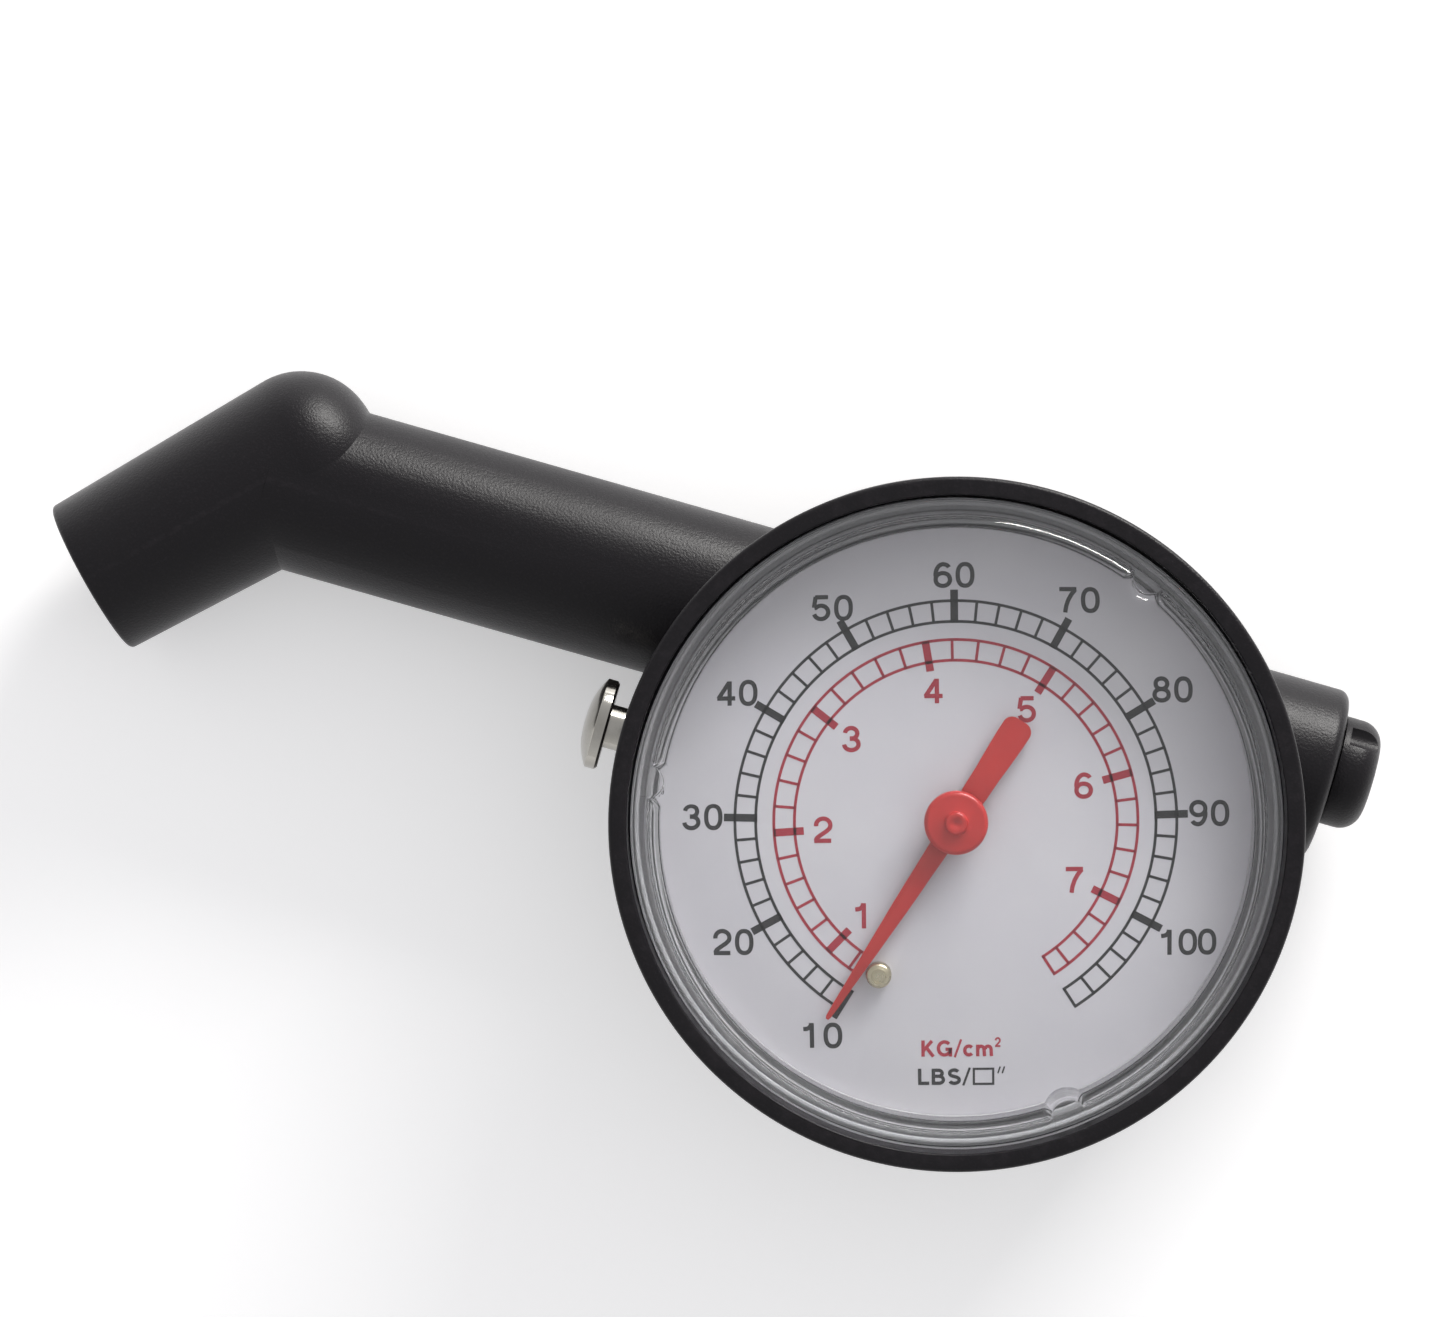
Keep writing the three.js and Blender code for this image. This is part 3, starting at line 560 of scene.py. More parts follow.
# %% [markdown]
# ## Case, barrel and chuck
#
# The real body is one moulding: a round cup, a barrel that passes under it, and a chuck turned
# through 45 degrees. Each is a body of revolution, so the body is built the way a mould maker cuts
# it, by joining the round shapes and then cutting the hollows. The creases where they meet stay
# crisp, as they are on the moulding.

# %% Outside of the moulding
CUP_INNER_R = 26.6
LEDGE_Z = 21.6
RIM_INNER_R = 28.4
BACK_R = 29.3
FLOOR_Z = 2.0
RIM_ROUND = 0.4
FOOT_ROUND = 2.0
TAIL_ROUND = 1.0
MOUTH_ROUND = 0.4
RIB_Z = 12.7
CHUCK_DOME_R = 7.78
CHUCK_MOUTH_R = 7.2
DOME_ROUND = 6.67
DOME_START = 22.0

foot = arc(BACK_R - FOOT_ROUND, FOOT_ROUND, FOOT_ROUND, -90, 0, 10)
rim = arc(CASE_R - RIM_ROUND, RIM_Z - RIM_ROUND, RIM_ROUND, 0, 90, 5)
body = turned("gauge_body_visual", [(0, 0), *foot, *rim, (0, RIM_Z)], steps=256)
barrel_tail = arc(BARREL_R - TAIL_ROUND, TAIL_X - TAIL_ROUND, TAIL_ROUND, 0, 90, 8)
barrel = turned("barrel", [(0, BEND_X), (BARREL_R, BEND_X), *barrel_tail, (0, TAIL_X)], BARREL_FRAME, 128)
dome = arc(CHUCK_DOME_R - DOME_ROUND, DOME_START, DOME_ROUND, 0, 90, 20)
mouth = arc(CHUCK_MOUTH_R - MOUTH_ROUND, MOUTH_ROUND, MOUTH_ROUND, -90, 0, 5)
chuck = turned("chuck", [(0, 0), *mouth, *dome, (0, dome[-1][1])], CHUCK_FRAME, 128)
join(body, barrel, chuck)
print("outside of the moulding:", len(body.data.polygons), "faces")

# %% The hollow of the cup, with the barrel left in it as a low rib
LIP_ROUND = 0.2
lip = arc(RIM_INNER_R + LIP_ROUND, RIM_Z - LIP_ROUND, LIP_ROUND, 180, 90, 4)
cup_floor = [(0, FLOOR_Z), (CUP_INNER_R, FLOOR_Z)]
ledge = [(CUP_INNER_R, LEDGE_Z), (RIM_INNER_R, LEDGE_Z)]
above_rim = [(RIM_INNER_R + LIP_ROUND, RIM_Z + 1), (0, RIM_Z + 1)]
hollow = turned("hollow", [*cup_floor, *ledge, *lip, *above_rim], steps=256)


def oblong(x0, x1, y0, y1):
    return [(x0, y0), (x1, y0), (x1, y1), (x0, y1)]


rib = turned("rib", [(0, -40), (BARREL_R, -40), (BARREL_R, 40), (0, 40)], BARREL_FRAME, 128)
cut(rib, prism("above_rib", oblong(-45, 45, BARREL_Y - 9, BARREL_Y + 9), RIB_Z, 20))
cut(hollow, rib)
cut(body, hollow)

# %% Bores, screw sinks and the hole for the release stem
def rod(name, r, z0, z1, place=None, steps=48):
    return turned(name, [(0, z0), (r, z0), (r, z1), (0, z1)], place, steps)


SCREW_X = 8
SCREW_Y = 21.6
for side in (-1, 1):
    place = Matrix.Translation((side * SCREW_X, SCREW_Y, 0))
    join(body, rod("boss", 2.7, 0.5, RIB_Z, place))
    cut(body, rod("screw_hole", 1.2, -1, 14, place), rod("screw_sink", 2.2, -1, 1.9, place))
airway = rod("airway", 2.75, BEND_X, TAIL_X - 6.9, BARREL_FRAME, 64)
plug_seat = rod("plug_seat", 4, 0, 8, PLUG_FRAME, 64)
CHUCK_STEPS = [(6, 5.2), (5.4, 7.9), (3.6, 15.2), (2.2, CHUCK_LENGTH)]  # radius, depth it reaches
bore_profile = [(0, -1)]
for r, depth in CHUCK_STEPS:
    bore_profile += [(r, bore_profile[-1][1]), (r, depth)]
bore_profile.append((0, CHUCK_LENGTH))
chuck_bore = turned("chuck_bore", bore_profile, CHUCK_FRAME, 96)
port = rod("port", 2.7, BARREL_Z, 14, Matrix.Translation((0, BARREL_Y, 0)))
stem_hole = rod("stem_hole", 2.25, -CASE_R - 1, -CASE_R + 6, BUTTON_FRAME, 64)
cut(body, airway, plug_seat, chuck_bore, port, stem_hole)
place_piece(body, "housing", black, ["gauge_body"], smooth=30)

# %% [markdown]
# ## Lens
#
# The lens is a deep clear cup, dropped into the case. Its crown stands proud with a rounded
# shoulder, and three half-round notches let it be turned out. The shoulder's real roundness is
# what makes the thin bright lines on it, so it is modelled with many steps.

# %% Outline of the lens wall, with the notches let in
WALL_R = 26.7
WALL_INNER_R = 25.7
SHOULDER = 0.9
LENS_R = 28.12
LENS_TOP = lens_high.z
SKIRT_Z = lens_low.z
FLANGE_Z = 27.0
ROOF_Z = 26.8
NOTCH_ANGLES = (68, 188, 307)
NOTCH_AT = 26.9
NOTCH_R = 1.45
NOTCH_STEPS = 28
WALL_STEPS = 84


def notched(wall_r, notch_r, z):
    """A ring of points on a circle, except where it follows the three notches inwards."""
    meet = math.acos((wall_r ** 2 + NOTCH_AT ** 2 - notch_r ** 2) / (2 * wall_r * NOTCH_AT))
    turn = math.degrees(math.atan2(wall_r * math.sin(meet), wall_r * math.cos(meet) - NOTCH_AT))
    points = []
    for k, angle in enumerate(NOTCH_ANGLES):
        way = Matrix.Rotation(math.radians(angle), 3, "Z")
        inward = arc(NOTCH_AT, 0, notch_r, 360 - turn, turn, NOTCH_STEPS)
        points += [way @ Vector((x, y, z)) for x, y in inward]
        start = angle + math.degrees(meet)
        end = NOTCH_ANGLES[(k + 1) % 3] + (360 if k == 2 else 0) - math.degrees(meet)
        points += [Vector((x, y, z)) for x, y in arc(0, 0, wall_r, start, end, WALL_STEPS)[1:-1]]
    return points


def plain_ring(r, z):
    """A full circle with as many points as a notched ring, at the same angles."""
    points = []
    for p in notched(WALL_R, NOTCH_R, z):
        way = math.atan2(p.y, p.x)
        points.append(Vector((r * math.cos(way), r * math.sin(way), z)))
    return points


# %% Lens
rings = [[Vector((0, 0, ROOF_Z))], plain_ring(20, ROOF_Z)]
for x, z in arc(0.2, ROOF_Z - 0.2, 0.2, 90, 180, 4):
    rings.append(notched(WALL_INNER_R - x, NOTCH_R + 0.55 + x, z))
rings.append(notched(WALL_INNER_R, NOTCH_R + 0.55, SKIRT_Z))
rings.append(plain_ring(LENS_R, SKIRT_Z))
rings += [plain_ring(r, z) for r, z in arc(LENS_R - 0.25, FLANGE_Z - 0.25, 0.25, 0, 90, 8)]
for x, z in arc(-0.2, FLANGE_Z + 0.2, 0.2, 270, 360, 4):
    rings.append(notched(WALL_R - x, NOTCH_R + x, z))
for x, z in arc(SHOULDER, LENS_TOP - SHOULDER, SHOULDER, 180, 90, 14):
    rings.append(notched(WALL_R - x, NOTCH_R + x, z))
rings += [plain_ring(20, LENS_TOP), [Vector((0, 0, LENS_TOP))]]
lens = lofted("lens_visual", rings)
place_piece(lens, "housing", clear, ["lens"], smooth=30)

# %% The gasket under the lens, with round ribs that press on its skirt
GASKET_IN = 25.75
GASKET_OUT = 28.1
GASKET_FOOT = DIAL_Z + 0.02
GROOVE_Z = DIAL_Z + 0.15
RIB_TOP = SKIRT_Z - 0.04
OUTER_RIB = [(27.86, GROOVE_Z), (27.78, RIB_TOP - 0.1), (27.68, RIB_TOP),
             (27.48, RIB_TOP), (27.38, RIB_TOP - 0.1), (27.3, GROOVE_Z)]
INNER_RIB = [(26.93, GROOVE_Z), (26.85, RIB_TOP - 0.1), (26.72, RIB_TOP),
             (26.38, RIB_TOP), (26.26, RIB_TOP - 0.1), (26.18, GROOVE_Z)]
inner_lip = [(GASKET_IN + 0.17, GROOVE_Z), (GASKET_IN + 0.13, RIB_TOP), (GASKET_IN, RIB_TOP)]
gasket_profile = [(GASKET_IN, GASKET_FOOT), (GASKET_OUT, GASKET_FOOT), (GASKET_OUT, GROOVE_Z)]
gasket_profile += OUTER_RIB + INNER_RIB + inner_lip
gasket = turned("lens_gasket_visual", gasket_profile, steps=192)
place_piece(gasket, "housing", grey, ["lens_gasket"])

# %% [markdown]
# ## Dial plate and its print
#
# The dial is a painted disc, and its print is a film of ink. A film drawn as thin raised shapes
# keeps every edge sharp at any distance. A line of even width is a ribbon along its centre line.

# %% Dial plate
PIN_R = 1.1
PIN_ANGLE = math.radians(259.3)
PIN_AT = Vector((14.9 * math.cos(PIN_ANGLE), 14.9 * math.sin(PIN_ANGLE), 0))
DIAL_BACK = dial_low.z
DIAL_R = 27.9
DIAL_HOLE_R = 1.7
DIAL_EDGE = 0.12
edge = arc(DIAL_R - DIAL_EDGE, DIAL_Z - DIAL_EDGE, DIAL_EDGE, 0, 90, 3)
dial_profile = [(DIAL_HOLE_R, DIAL_BACK), (DIAL_R, DIAL_BACK), *edge, (DIAL_HOLE_R, DIAL_Z)]
dial = turned("dial_plate_visual", dial_profile, steps=192)
cut(dial, rod("pin_hole", PIN_R + 0.02, 20, 24, Matrix.Translation(PIN_AT), 48))
place_piece(dial, "housing", paper, ["dial_plate"])


# %% Ribbons: lines and arcs of even width, as thin solids
INK_LOW = DIAL_Z - 0.01
INK_TOP = DIAL_Z + 0.015


def ribbon(points, width, closed=False):
    """Verts and faces of a flat line with mitred corners."""
    path = [Vector(p) for p in points]
    n = len(path)
    verts, faces = [], []
    for i, p in enumerate(path):
        before = path[i - 1] if i > 0 or closed else None
        after = path[(i + 1) % n] if i < n - 1 or closed else None
        ways = [(p - before).normalized()] if before is not None else []
        if after is not None:
            ways.append((after - p).normalized())
        way = sum(ways, Vector((0, 0))).normalized()
        side = Vector((-way.y, way.x))
        reach = width / 2 / max(0.3, side.dot(Vector((-ways[0].y, ways[0].x))))
        for x, y in (p + side * reach, p - side * reach):
            verts += [(x, y, INK_LOW), (x, y, INK_TOP)]
    last = n if closed else n - 1
    for i in range(last):
        a, b = 4 * i, 4 * ((i + 1) % n)
        faces += [(a + 1, a + 3, b + 3, b + 1), (a, b, b + 2, a + 2)]
        faces += [(a, a + 1, b + 1, b), (a + 2, b + 2, b + 3, a + 3)]
    if not closed:
        e = 4 * (n - 1)
        faces += [(0, 2, 3, 1), (e, e + 1, e + 3, e + 2)]
    return verts, faces


def dial_polar(r, degrees):
    return (r * math.cos(math.radians(degrees)), r * math.sin(math.radians(degrees)))


def arc_line(name, r, start, end, width):
    steps = max(4, int(abs(end - start) / 1.5))
    points = [dial_polar(r, start + (end - start) * i / steps) for i in range(steps + 1)]
    return mesh_object(name, *ribbon(points, width))


def tick(name, angle, r0, r1, width):
    return mesh_object(name, *ribbon([dial_polar(r0, angle), dial_polar(r1, angle)], width))


# %% The two scales: pounds per square inch in black outside, kilograms per square centimetre in red
UPRIGHT = 106.4
DEGREES_PER_PSI = 2.953
PSI_PER_KG = 14.2233
LINE_WIDTH = 0.25
MAJOR_WIDTH = 0.67


def psi_angle(psi):
    return UPRIGHT - DEGREES_PER_PSI * (psi - 60)


def scale_lines(name, inner, outer, minors, majors, major_r, first, last):
    """A ladder between two arcs, closed at both ends, with thick ticks at the numbered values."""
    low, high = psi_angle(last), psi_angle(first)
    half = math.degrees(LINE_WIDTH / 2 / outer)
    parts = [arc_line(name, r, low - half, high + half, LINE_WIDTH) for r in (inner, outer)]
    parts += [tick(name, psi_angle(v), inner, outer, LINE_WIDTH) for v in minors if v not in majors]
    parts += [tick(name, psi_angle(v), *major_r, MAJOR_WIDTH) for v in majors]
    return parts


FIRST_PSI = 10
LAST_PSI = 110
PSI_MINORS = range(FIRST_PSI, LAST_PSI + 1, 2)
PSI_MAJORS = list(range(10, 101, 10))
black_print = scale_lines("black_line", 17.34, 19.14, PSI_MINORS, PSI_MAJORS, (17.2, 20.1),
                          FIRST_PSI, LAST_PSI)
kg_minors = [0.2 * i * PSI_PER_KG for i in range(4, 39)]
kg_majors = [kg * PSI_PER_KG for kg in range(1, 8)]
kg_minors = [v for v in kg_minors if v < LAST_PSI and min(abs(v - m) for m in kg_majors) > 1]
kg_ends = [LAST_PSI, FIRST_PSI]
red_print = scale_lines("red_line", 13.98, 15.77, kg_minors + kg_ends, kg_majors, (13.2, 15.8),
                        FIRST_PSI, LAST_PSI)
print("scale marks:", len(black_print), "black and", len(red_print), "red")

# %% [markdown]
# ## Numerals
#
# The numerals are a plain grotesque. Each is drawn here from strokes on a height of one: arcs and
# straight runs of one width, joined into a single shape, which is then scaled to the print.

# %% Strokes of every character used
REGULAR = 0.172
DIGIT_STRETCH = 1.13
BOLD = 0.21


def oval(cx, cy, rx, ry, start, end, steps=20):
    turns = [math.radians(start + (end - start) * i / steps) for i in range(steps + 1)]
    return [(cx + rx * math.cos(t), cy + ry * math.sin(t)) for t in turns]


def egg(cx, cy, rx, ry, power=2.35, steps=40):
    """A closed oval with fuller shoulders than an ellipse."""
    points = []
    for i in range(steps):
        t = 2 * math.pi * i / steps
        c, s = math.cos(t), math.sin(t)
        x = math.copysign(abs(c) ** (2 / power), c)
        y = math.copysign(abs(s) ** (2 / power), s)
        points.append((cx + rx * x, cy + ry * y))
    return points


# Each entry is (advance, closed strokes, open strokes).
DIGITS = {
    "0": (0.775, [egg(0.385, 0.5, 0.255, 0.436)], []),
    "1": (0.775, [], [[(0.42, 0), (0.42, 1)],
                      [(0.12, 0.755), (0.24, 0.765), (0.33, 0.81), (0.385, 0.9), (0.4, 0.995)]]),
    "2": (0.775, [], [oval(0.385, 0.675, 0.25, 0.262, 188, -28, 18)
                      + [(0.5, 0.44), (0.3, 0.29), (0.17, 0.18), (0.115, 0.062)],
                      [(0.07, 0.06), (0.66, 0.06)]]),
    "3": (0.775, [], [oval(0.37, 0.725, 0.215, 0.212, 175, -90, 18) + [(0.32, 0.513)],
                      [(0.32, 0.525), (0.37, 0.525)] + oval(0.375, 0.297, 0.25, 0.232, 80, -178, 20)]),
    "4": (0.775, [], [[(0.5, 0), (0.5, 0.97)], [(0.06, 0.29), (0.7, 0.29)], [(0.1, 0.28), (0.485, 0.93)]]),
    "5": (0.775, [], [[(0.165, 0.938), (0.62, 0.938)], [(0.185, 0.96), (0.125, 0.52)],
                      [(0.14, 0.5)] + oval(0.375, 0.332, 0.25, 0.268, 138, -165, 22)]),
    "6": (0.775, [egg(0.385, 0.32, 0.25, 0.257, 2.1)],
          [oval(0.40, 0.50, 0.268, 0.436, 186, 92, 16) + oval(0.40, 0.735, 0.215, 0.2, 85, 22, 8)]),
    "7": (0.775, [], [[(0.08, 0.938), (0.68, 0.938)],
                      [(0.64, 0.92), (0.5, 0.73), (0.385, 0.5), (0.31, 0.25), (0.275, 0)]]),
    "8": (0.775, [egg(0.385, 0.728, 0.205, 0.208, 2.1), egg(0.385, 0.29, 0.25, 0.227, 2.1)], []),
}


def upended(strokes):
    """Strokes turned half round, which makes a 9 of a 6."""
    return [[(0.77 - x, 1 - y) for x, y in stroke] for stroke in strokes]


DIGITS["9"] = (0.775, upended(DIGITS["6"][1]), upended(DIGITS["6"][2]))
LETTERS = {
    "K": (0.98, [], [[(0.17, 0), (0.17, 1)], [(0.2, 0.38), (0.72, 0.97)], [(0.36, 0.58), (0.8, 0.0)]]),
    "G": (1.06, [], [oval(0.5, 0.5, 0.37, 0.4, 42, 340, 30) + [(0.86, 0.45), (0.56, 0.45)],
                     [(0.865, 0), (0.865, 0.5)]]),
    "/": (0.56, [], [[(0.06, -0.05), (0.46, 1.05)]]),
    "c": (0.76, [], [oval(0.37, 0.365, 0.25, 0.27, 42, 318, 24)]),
    "m": (1.18, [], [[(0.15, 0), (0.15, 0.72)],
                     [(0.16, 0.45)] + oval(0.355, 0.43, 0.18, 0.19, 150, 0, 12) + [(0.565, 0)],
                     [(0.575, 0.45)] + oval(0.785, 0.43, 0.18, 0.19, 150, 0, 12) + [(0.985, 0)]]),
    "L": (0.82, [], [[(0.17, 1), (0.17, 0.1)], [(0.07, 0.1), (0.74, 0.1)]]),
    "B": (0.98, [], [[(0.17, 0), (0.17, 1)],
                     [(0.17, 0.9)] + oval(0.48, 0.715, 0.22, 0.185, 90, -90, 12) + [(0.17, 0.53)],
                     [(0.17, 0.53)] + oval(0.52, 0.315, 0.25, 0.215, 90, -90, 12) + [(0.17, 0.1)]]),
    "S": (0.92, [], [oval(0.44, 0.715, 0.27, 0.195, 28, 262, 18)
                     + oval(0.45, 0.29, 0.29, 0.2, 82, -158, 20)]),
    "[]": (1.5, [[(0.14, 0.04), (1.3, 0.04), (1.3, 0.97), (0.14, 0.97)]], []),
    "''": (0.6, [], [[(0.08, 0.68), (0.22, 1.1)], [(0.34, 0.68), (0.48, 1.1)]]),
    "sq": (0.5, [], [oval(0.2, 0.97, 0.13, 0.15, 180, -30, 10) + [(0.07, 0.62)],
                     [(0.03, 0.62), (0.36, 0.62)]]),
}
WIDTHS = {"[]": 0.14, "''": 0.09, "sq": 0.11, "/": 0.14}


def character(sign, place, size):
    """One numeral or letter, joined into a single shape at its place on the dial."""
    table, width, stretch = DIGITS, REGULAR, DIGIT_STRETCH
    if sign in LETTERS:
        table, width, stretch = LETTERS, WIDTHS.get(sign, BOLD), 1.0
    advance, closed, strokes = table[sign]
    shapes = [(s, True) for s in closed] + [(s, False) for s in strokes]
    made = []
    for points, ring in shapes:
        on_dial = [(place @ Vector((x * stretch * size, y * size, 0))).to_2d() for x, y in points]
        made.append(mesh_object("stroke", *ribbon(on_dial, width * size, ring)))
    return join(made[0], *made[1:]) if len(made) > 1 else made[0]


def lettering(signs, centre, size, spacing=1.0):
    """A row of characters, upright on the dial and centred on a point (x, y)."""
    table = [(DIGITS if s in DIGITS else LETTERS)[s][0] * spacing for s in signs]
    upright = Matrix.Rotation(math.radians(UPRIGHT - 90), 4, "Z")
    made, x = [], -sum(table) / 2
    for sign, advance in zip(signs, table):
        at = upright @ Vector((x * size, -size / 2, 0))
        made.append(character(sign, Matrix.Translation(Vector((*centre, 0)) + at) @ upright, size))
        x += advance
    return made


# %% The numbers round both scales
NUMERAL_SIZE = 2.2
BLACK_NUMERALS_R = {50: 21.4, 60: 21.4, 100: 22.65}
RED_NUMERALS_R = 11.5
for psi in PSI_MAJORS:
    centre = dial_polar(BLACK_NUMERALS_R.get(psi, 22.0), psi_angle(psi))
    spacing = 1.0 if psi == 100 else DIGIT_STRETCH
    black_print += lettering(list(str(psi)), centre, NUMERAL_SIZE, spacing)
for kg in range(1, 8):
    centre = dial_polar(RED_NUMERALS_R, psi_angle(kg * PSI_PER_KG))
    red_print += lettering([str(kg)], centre, NUMERAL_SIZE, DIGIT_STRETCH)

# %% The unit lines under the pointer
upright = Matrix.Rotation(math.radians(UPRIGHT - 90), 4, "Z")
red_units = (upright @ Vector((0.35, -19.76, 0))).to_2d()
black_units = (upright @ Vector((0.35, -22.27, 0))).to_2d()
red_print += lettering(["K", "G", "/", "c", "m", "sq"], red_units, 1.42)
black_print += lettering(["L", "B", "S", "/", "[]", "''"], black_units, 1.45)
black_scale = merged("black_scale_print", black_print)
red_scale = merged("red_scale_print", red_print)
place_piece(black_scale, "housing", black_ink)
place_piece(red_scale, "housing", red_ink)

# %% [markdown]
# ## Pointer, hub and stop pin
#
# The pointer is stamped and painted red-orange, and the hub is a soft-edged disc pressed on its
# arbor, with a small riveted end that has a dimple. The stop pin is a turned stud.

# %% Pointer
POINTER_REST = 252.8
half_widths = [(1.5, 0.93), (3.5, 0.87), (5, 0.82), (7, 0.78), (9, 0.72), (11, 0.63), (13, 0.55),
               (15, 0.46), (17, 0.37), (19, 0.29), (20.2, 0.22)]
blade_tip = [(20.45, 0.12)]
tail = [(-3.2, 1.13), (-5, 1.16), (-6, 1.22), (-7.3, 1.28), (-8.6, 1.33), (-9.4, 1.33)]
tail_end = arc(-9.57, 0.45, 0.88, 90, 180, 8) + arc(-9.57, -0.45, 0.88, 180, 270, 8)
upper = half_widths + blade_tip
lower = [(x, -y) for x, y in upper]
tail_below = [(x, -y) for x, y in reversed(tail)]
outline = lower + list(reversed(upper)) + tail + tail_end + tail_below
turn = Matrix.Rotation(math.radians(POINTER_REST), 4, "Z")
blade = prism("pointer_visual", outline, 23.1, 23.5, turn)
cut(blade, rod("hub_hole", 1.6, 22, 25))
rounded(blade, 0.1, 3, 50)
place_piece(blade, "pointer", red, ["pointer"])

# %% Hub
HUB_R = 2.77
HUB_TOP = 24.95
HUB_ROUND = 0.45
NUB_R = 1.0
NUB_TOP = 25.45
NUB_ROUND = 0.25
hub_sleeve = [(0.8, 22.8), (1.3, 22.8), (1.3, 23.75), (HUB_R - 0.12, 23.75), (HUB_R, 23.87)]
hub_edge = arc(HUB_R - HUB_ROUND, HUB_TOP - HUB_ROUND, HUB_ROUND, 0, 90, 8)
nub_edge = arc(NUB_R - NUB_ROUND, NUB_TOP - NUB_ROUND, NUB_ROUND, 0, 90, 6)
dimple = [(0.5, NUB_TOP), (0.3, 25.32), (0, 25.27)]
arbor_hole = [(0, 24.9), (0.8, 24.9)]
hub = turned("pointer_hub_visual", [*hub_sleeve, *hub_edge, (1.35, 25.0), (1.05, 25.1), *nub_edge,
                                    *dimple, *arbor_hole], steps=96)
place_piece(hub, "pointer", red, ["pointer_hub"])

# %% Stop pin
PIN_ROUND = 0.4
pin_head = arc(PIN_R - PIN_ROUND, 24.05 - PIN_ROUND, PIN_ROUND, 0, 75, 6)
pin_end = [(0.62, 24.13), (0.58, 24.02), (0, 24.0)]
pin_profile = [(0, 21.2), (PIN_R, 21.2), *pin_head, *pin_end]
stop_pin = turned("stop_pin_visual", pin_profile, Matrix.Translation(PIN_AT), 64)
place_piece(stop_pin, "housing", pin_brass, ["stop_pin"])

# %% [markdown]
# ## Release button
#
# A turned and plated knob: a domed face, a plain band that mirrors the light, and a narrower stem
# that runs into the case.

# %% Release button
HEAD_X = head_low.x
HEAD_R = 4.02
STEM_R = 1.95
FACE_CURVE = [(0.0, 0.0), (0.9, 0.03), (1.7, 0.13), (2.4, 0.3), (3.0, 0.52), (3.5, 0.76), (3.85, 0.96)]
face = [(r, HEAD_X + depth) for r, depth in FACE_CURVE]
HEAD_BACK = HEAD_X + 2.15
band_edge = arc(HEAD_R - 0.1, HEAD_X + 1.14, 0.1, -60, 0, 4)
band = [*band_edge, (HEAD_R, HEAD_BACK - 0.22), (HEAD_R - 0.22, HEAD_BACK), (STEM_R, HEAD_BACK)]
stem = [(STEM_R, -24.5), (0.9, -24.5), (0.9, -13.8), (1.5, -13.8), (1.5, -13.5), (0, -13.5)]
button = turned("release_button_visual", [*face, *band, *stem], BUTTON_FRAME, 160)
place_piece(button, "release_valve", nickel, ["release_button"], smooth=24)

# %% [markdown]
# ## Tail plug
#
# The plug closes the core hole that the moulding leaves in the barrel's end. Two grooves along it
# give a key something to turn it by.

# %% Tail plug
GRIP_R = 4.9
PLUG_LENGTH = plug_high.x - PLUG_FRAME.translation.x
PLUG_CORNER = 2
COLLAR = 7.3
plug_end = arc(GRIP_R - PLUG_CORNER, PLUG_LENGTH - PLUG_CORNER, PLUG_CORNER, 0, 90, 12)
SHANK_R = 3.7
RING_GROOVE_R = 2.6
shank_end = [(0, 0), (SHANK_R - 0.3, 0), (SHANK_R, 0.4)]
ring_groove = [(SHANK_R, 4.4), (RING_GROOVE_R, 4.4), (RING_GROOVE_R, 6.1), (SHANK_R, 6.1)]
grip = [(SHANK_R, COLLAR), (GRIP_R, COLLAR), *plug_end, (0, PLUG_LENGTH)]
plug = turned("tail_plug_visual", [*shank_end, *ring_groove, *grip], PLUG_FRAME, 128)
FLUTE_R = 1.15
FLUTE_AT = GRIP_R + 0.25
for angle in (134, 314):
    at = Matrix.Rotation(math.radians(angle), 4, "Z") @ Vector((FLUTE_AT, 0, 0))
    place = PLUG_FRAME @ Matrix.Translation(at)
    cut(plug, rod("flute", FLUTE_R, COLLAR + 0.5, PLUG_LENGTH + 1, place, 40))
rounded(plug, 0.12, 2, 40)
place_piece(plug, "housing", black, ["tail_plug"])

# %% [markdown]
# ## Fastenings and the inside of the chuck
#
# These are seen from behind and into the mouth: slotted screws in their sinks, the plated nozzle
# ring, the rubber seal that grips a tyre valve, and the plunger that opens it.

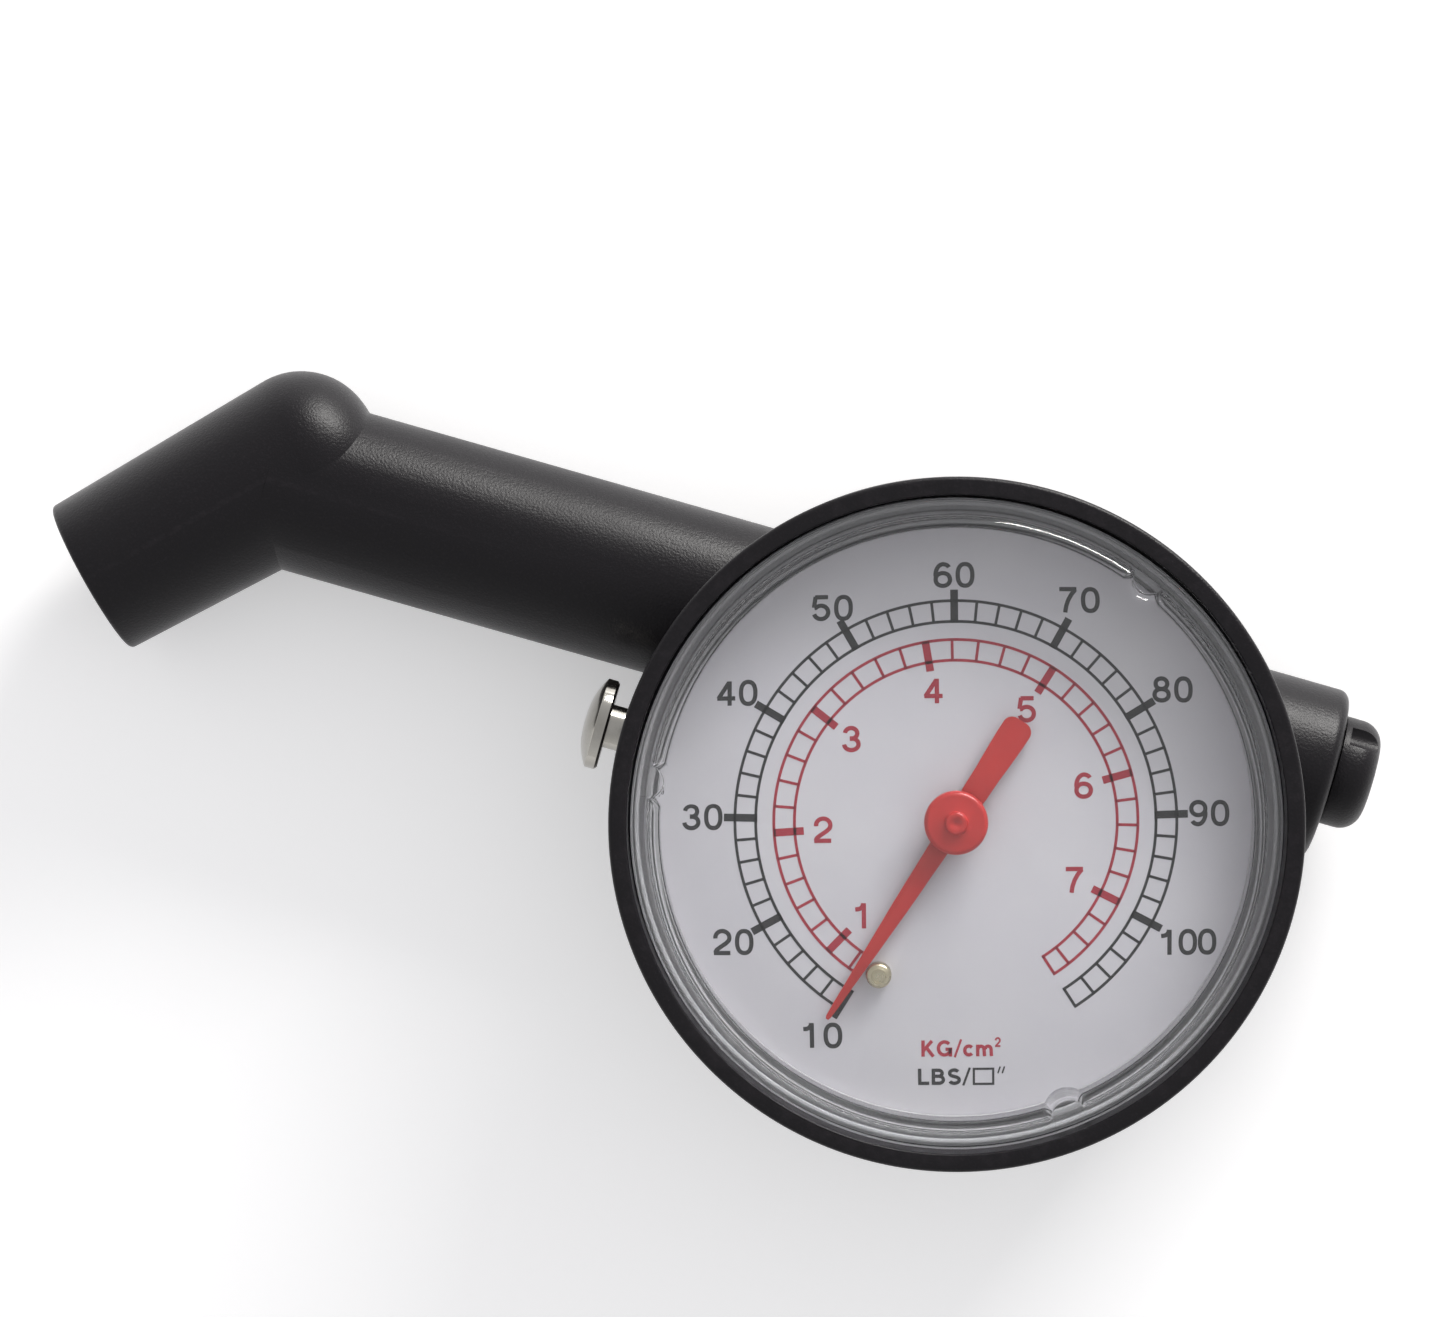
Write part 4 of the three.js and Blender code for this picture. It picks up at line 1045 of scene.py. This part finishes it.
# %% Back screws
SCREW_HEAD_R = 1.9
SLOT_HALF = 0.25
for side, name in ((-1, "back_screw_left"), (1, "back_screw_right")):
    place = Matrix.Translation((side * SCREW_X, SCREW_Y, 0))
    head_edge = arc(SCREW_HEAD_R - 0.3, 0.6, 0.3, -90, 0, 6)
    shank = [(SCREW_HEAD_R, 1.6), (0.9, 1.6), (0.9, 16), (0, 16)]
    screw = turned(name + "_visual", [(0, 0.3), *head_edge, *shank], place, 64)
    slot = oblong(side * SCREW_X - 2.2, side * SCREW_X + 2.2, SCREW_Y - SLOT_HALF, SCREW_Y + SLOT_HALF)
    cut(screw, prism("slot", slot, 0, 0.85))
    place_piece(screw, "housing", steel, [name])

# %% Nozzle, seal and plunger
nozzle_lip = arc(5.05, 0.75, 0.35, 200, 270, 5)
nozzle_profile = [(4.7, 1.1), *nozzle_lip, (5.55, 0.4), (5.7, 0.55), (5.7, 4.9), (4.7, 4.9)]
nozzle = turned("chuck_nozzle_visual", nozzle_profile, CHUCK_FRAME, 96)
place_piece(nozzle, "housing", nozzle_nickel, ["chuck_nozzle"])
seal_front = arc(2.35, 5.85, 0.35, 180, 270, 6) + arc(4.9, 5.7, 0.2, -90, 0, 4)
seal = turned("chuck_seal_visual", [*seal_front, (5.1, 7.6), (2, 7.6)], CHUCK_FRAME, 96)
place_piece(seal, "housing", rubber, ["chuck_seal"])
plunger_nose = arc(0.75, 5.35, 0.35, -90, 0, 6)
plunger_head = [(1.1, 10.4), (2.7, 10.4), (2.7, 11.2), (0.9, 11.2), (0.9, 12.9), (0, 12.9)]
plunger = turned("check_plunger_visual", [(0, 5), *plunger_nose, *plunger_head], CHUCK_FRAME, 64)
place_piece(plunger, "check_valve", brass, ["check_plunger"])

# %% [markdown]
# ## Movement
#
# The works behind the dial stay as the CAD solids, which are already right. They only need
# their finishes.

# %% Finishes for the solids that stay
STAYING = {
    "brass": (brass, ["sector_gear", "link", "bourdon_tip", "manifold", "movement_back_plate",
                      "movement_front_plate", "movement_pillar_1", "movement_pillar_2",
                      "movement_pillar_3", "release_valve_body", "valve_seat"]),
    "steel": (steel, ["pinion_arbor", "sector_arbor", "sector_link_pin", "tip_link_pin",
                      "movement_screw_left", "movement_screw_right", "release_spring",
                      "check_spring"]),
    "bronze": (bronze, ["bourdon_tube", "hairspring"]),
    "rubber": (rubber, ["manifold_o_ring", "release_seal", "plunger_seal", "tail_o_ring"]),
}
for slot, (material, names) in STAYING.items():
    for name in names:
        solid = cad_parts[name]
        solid.data.materials.clear()
        solid.data.materials.append(material)
    print(slot, "on", len(names), "solids")
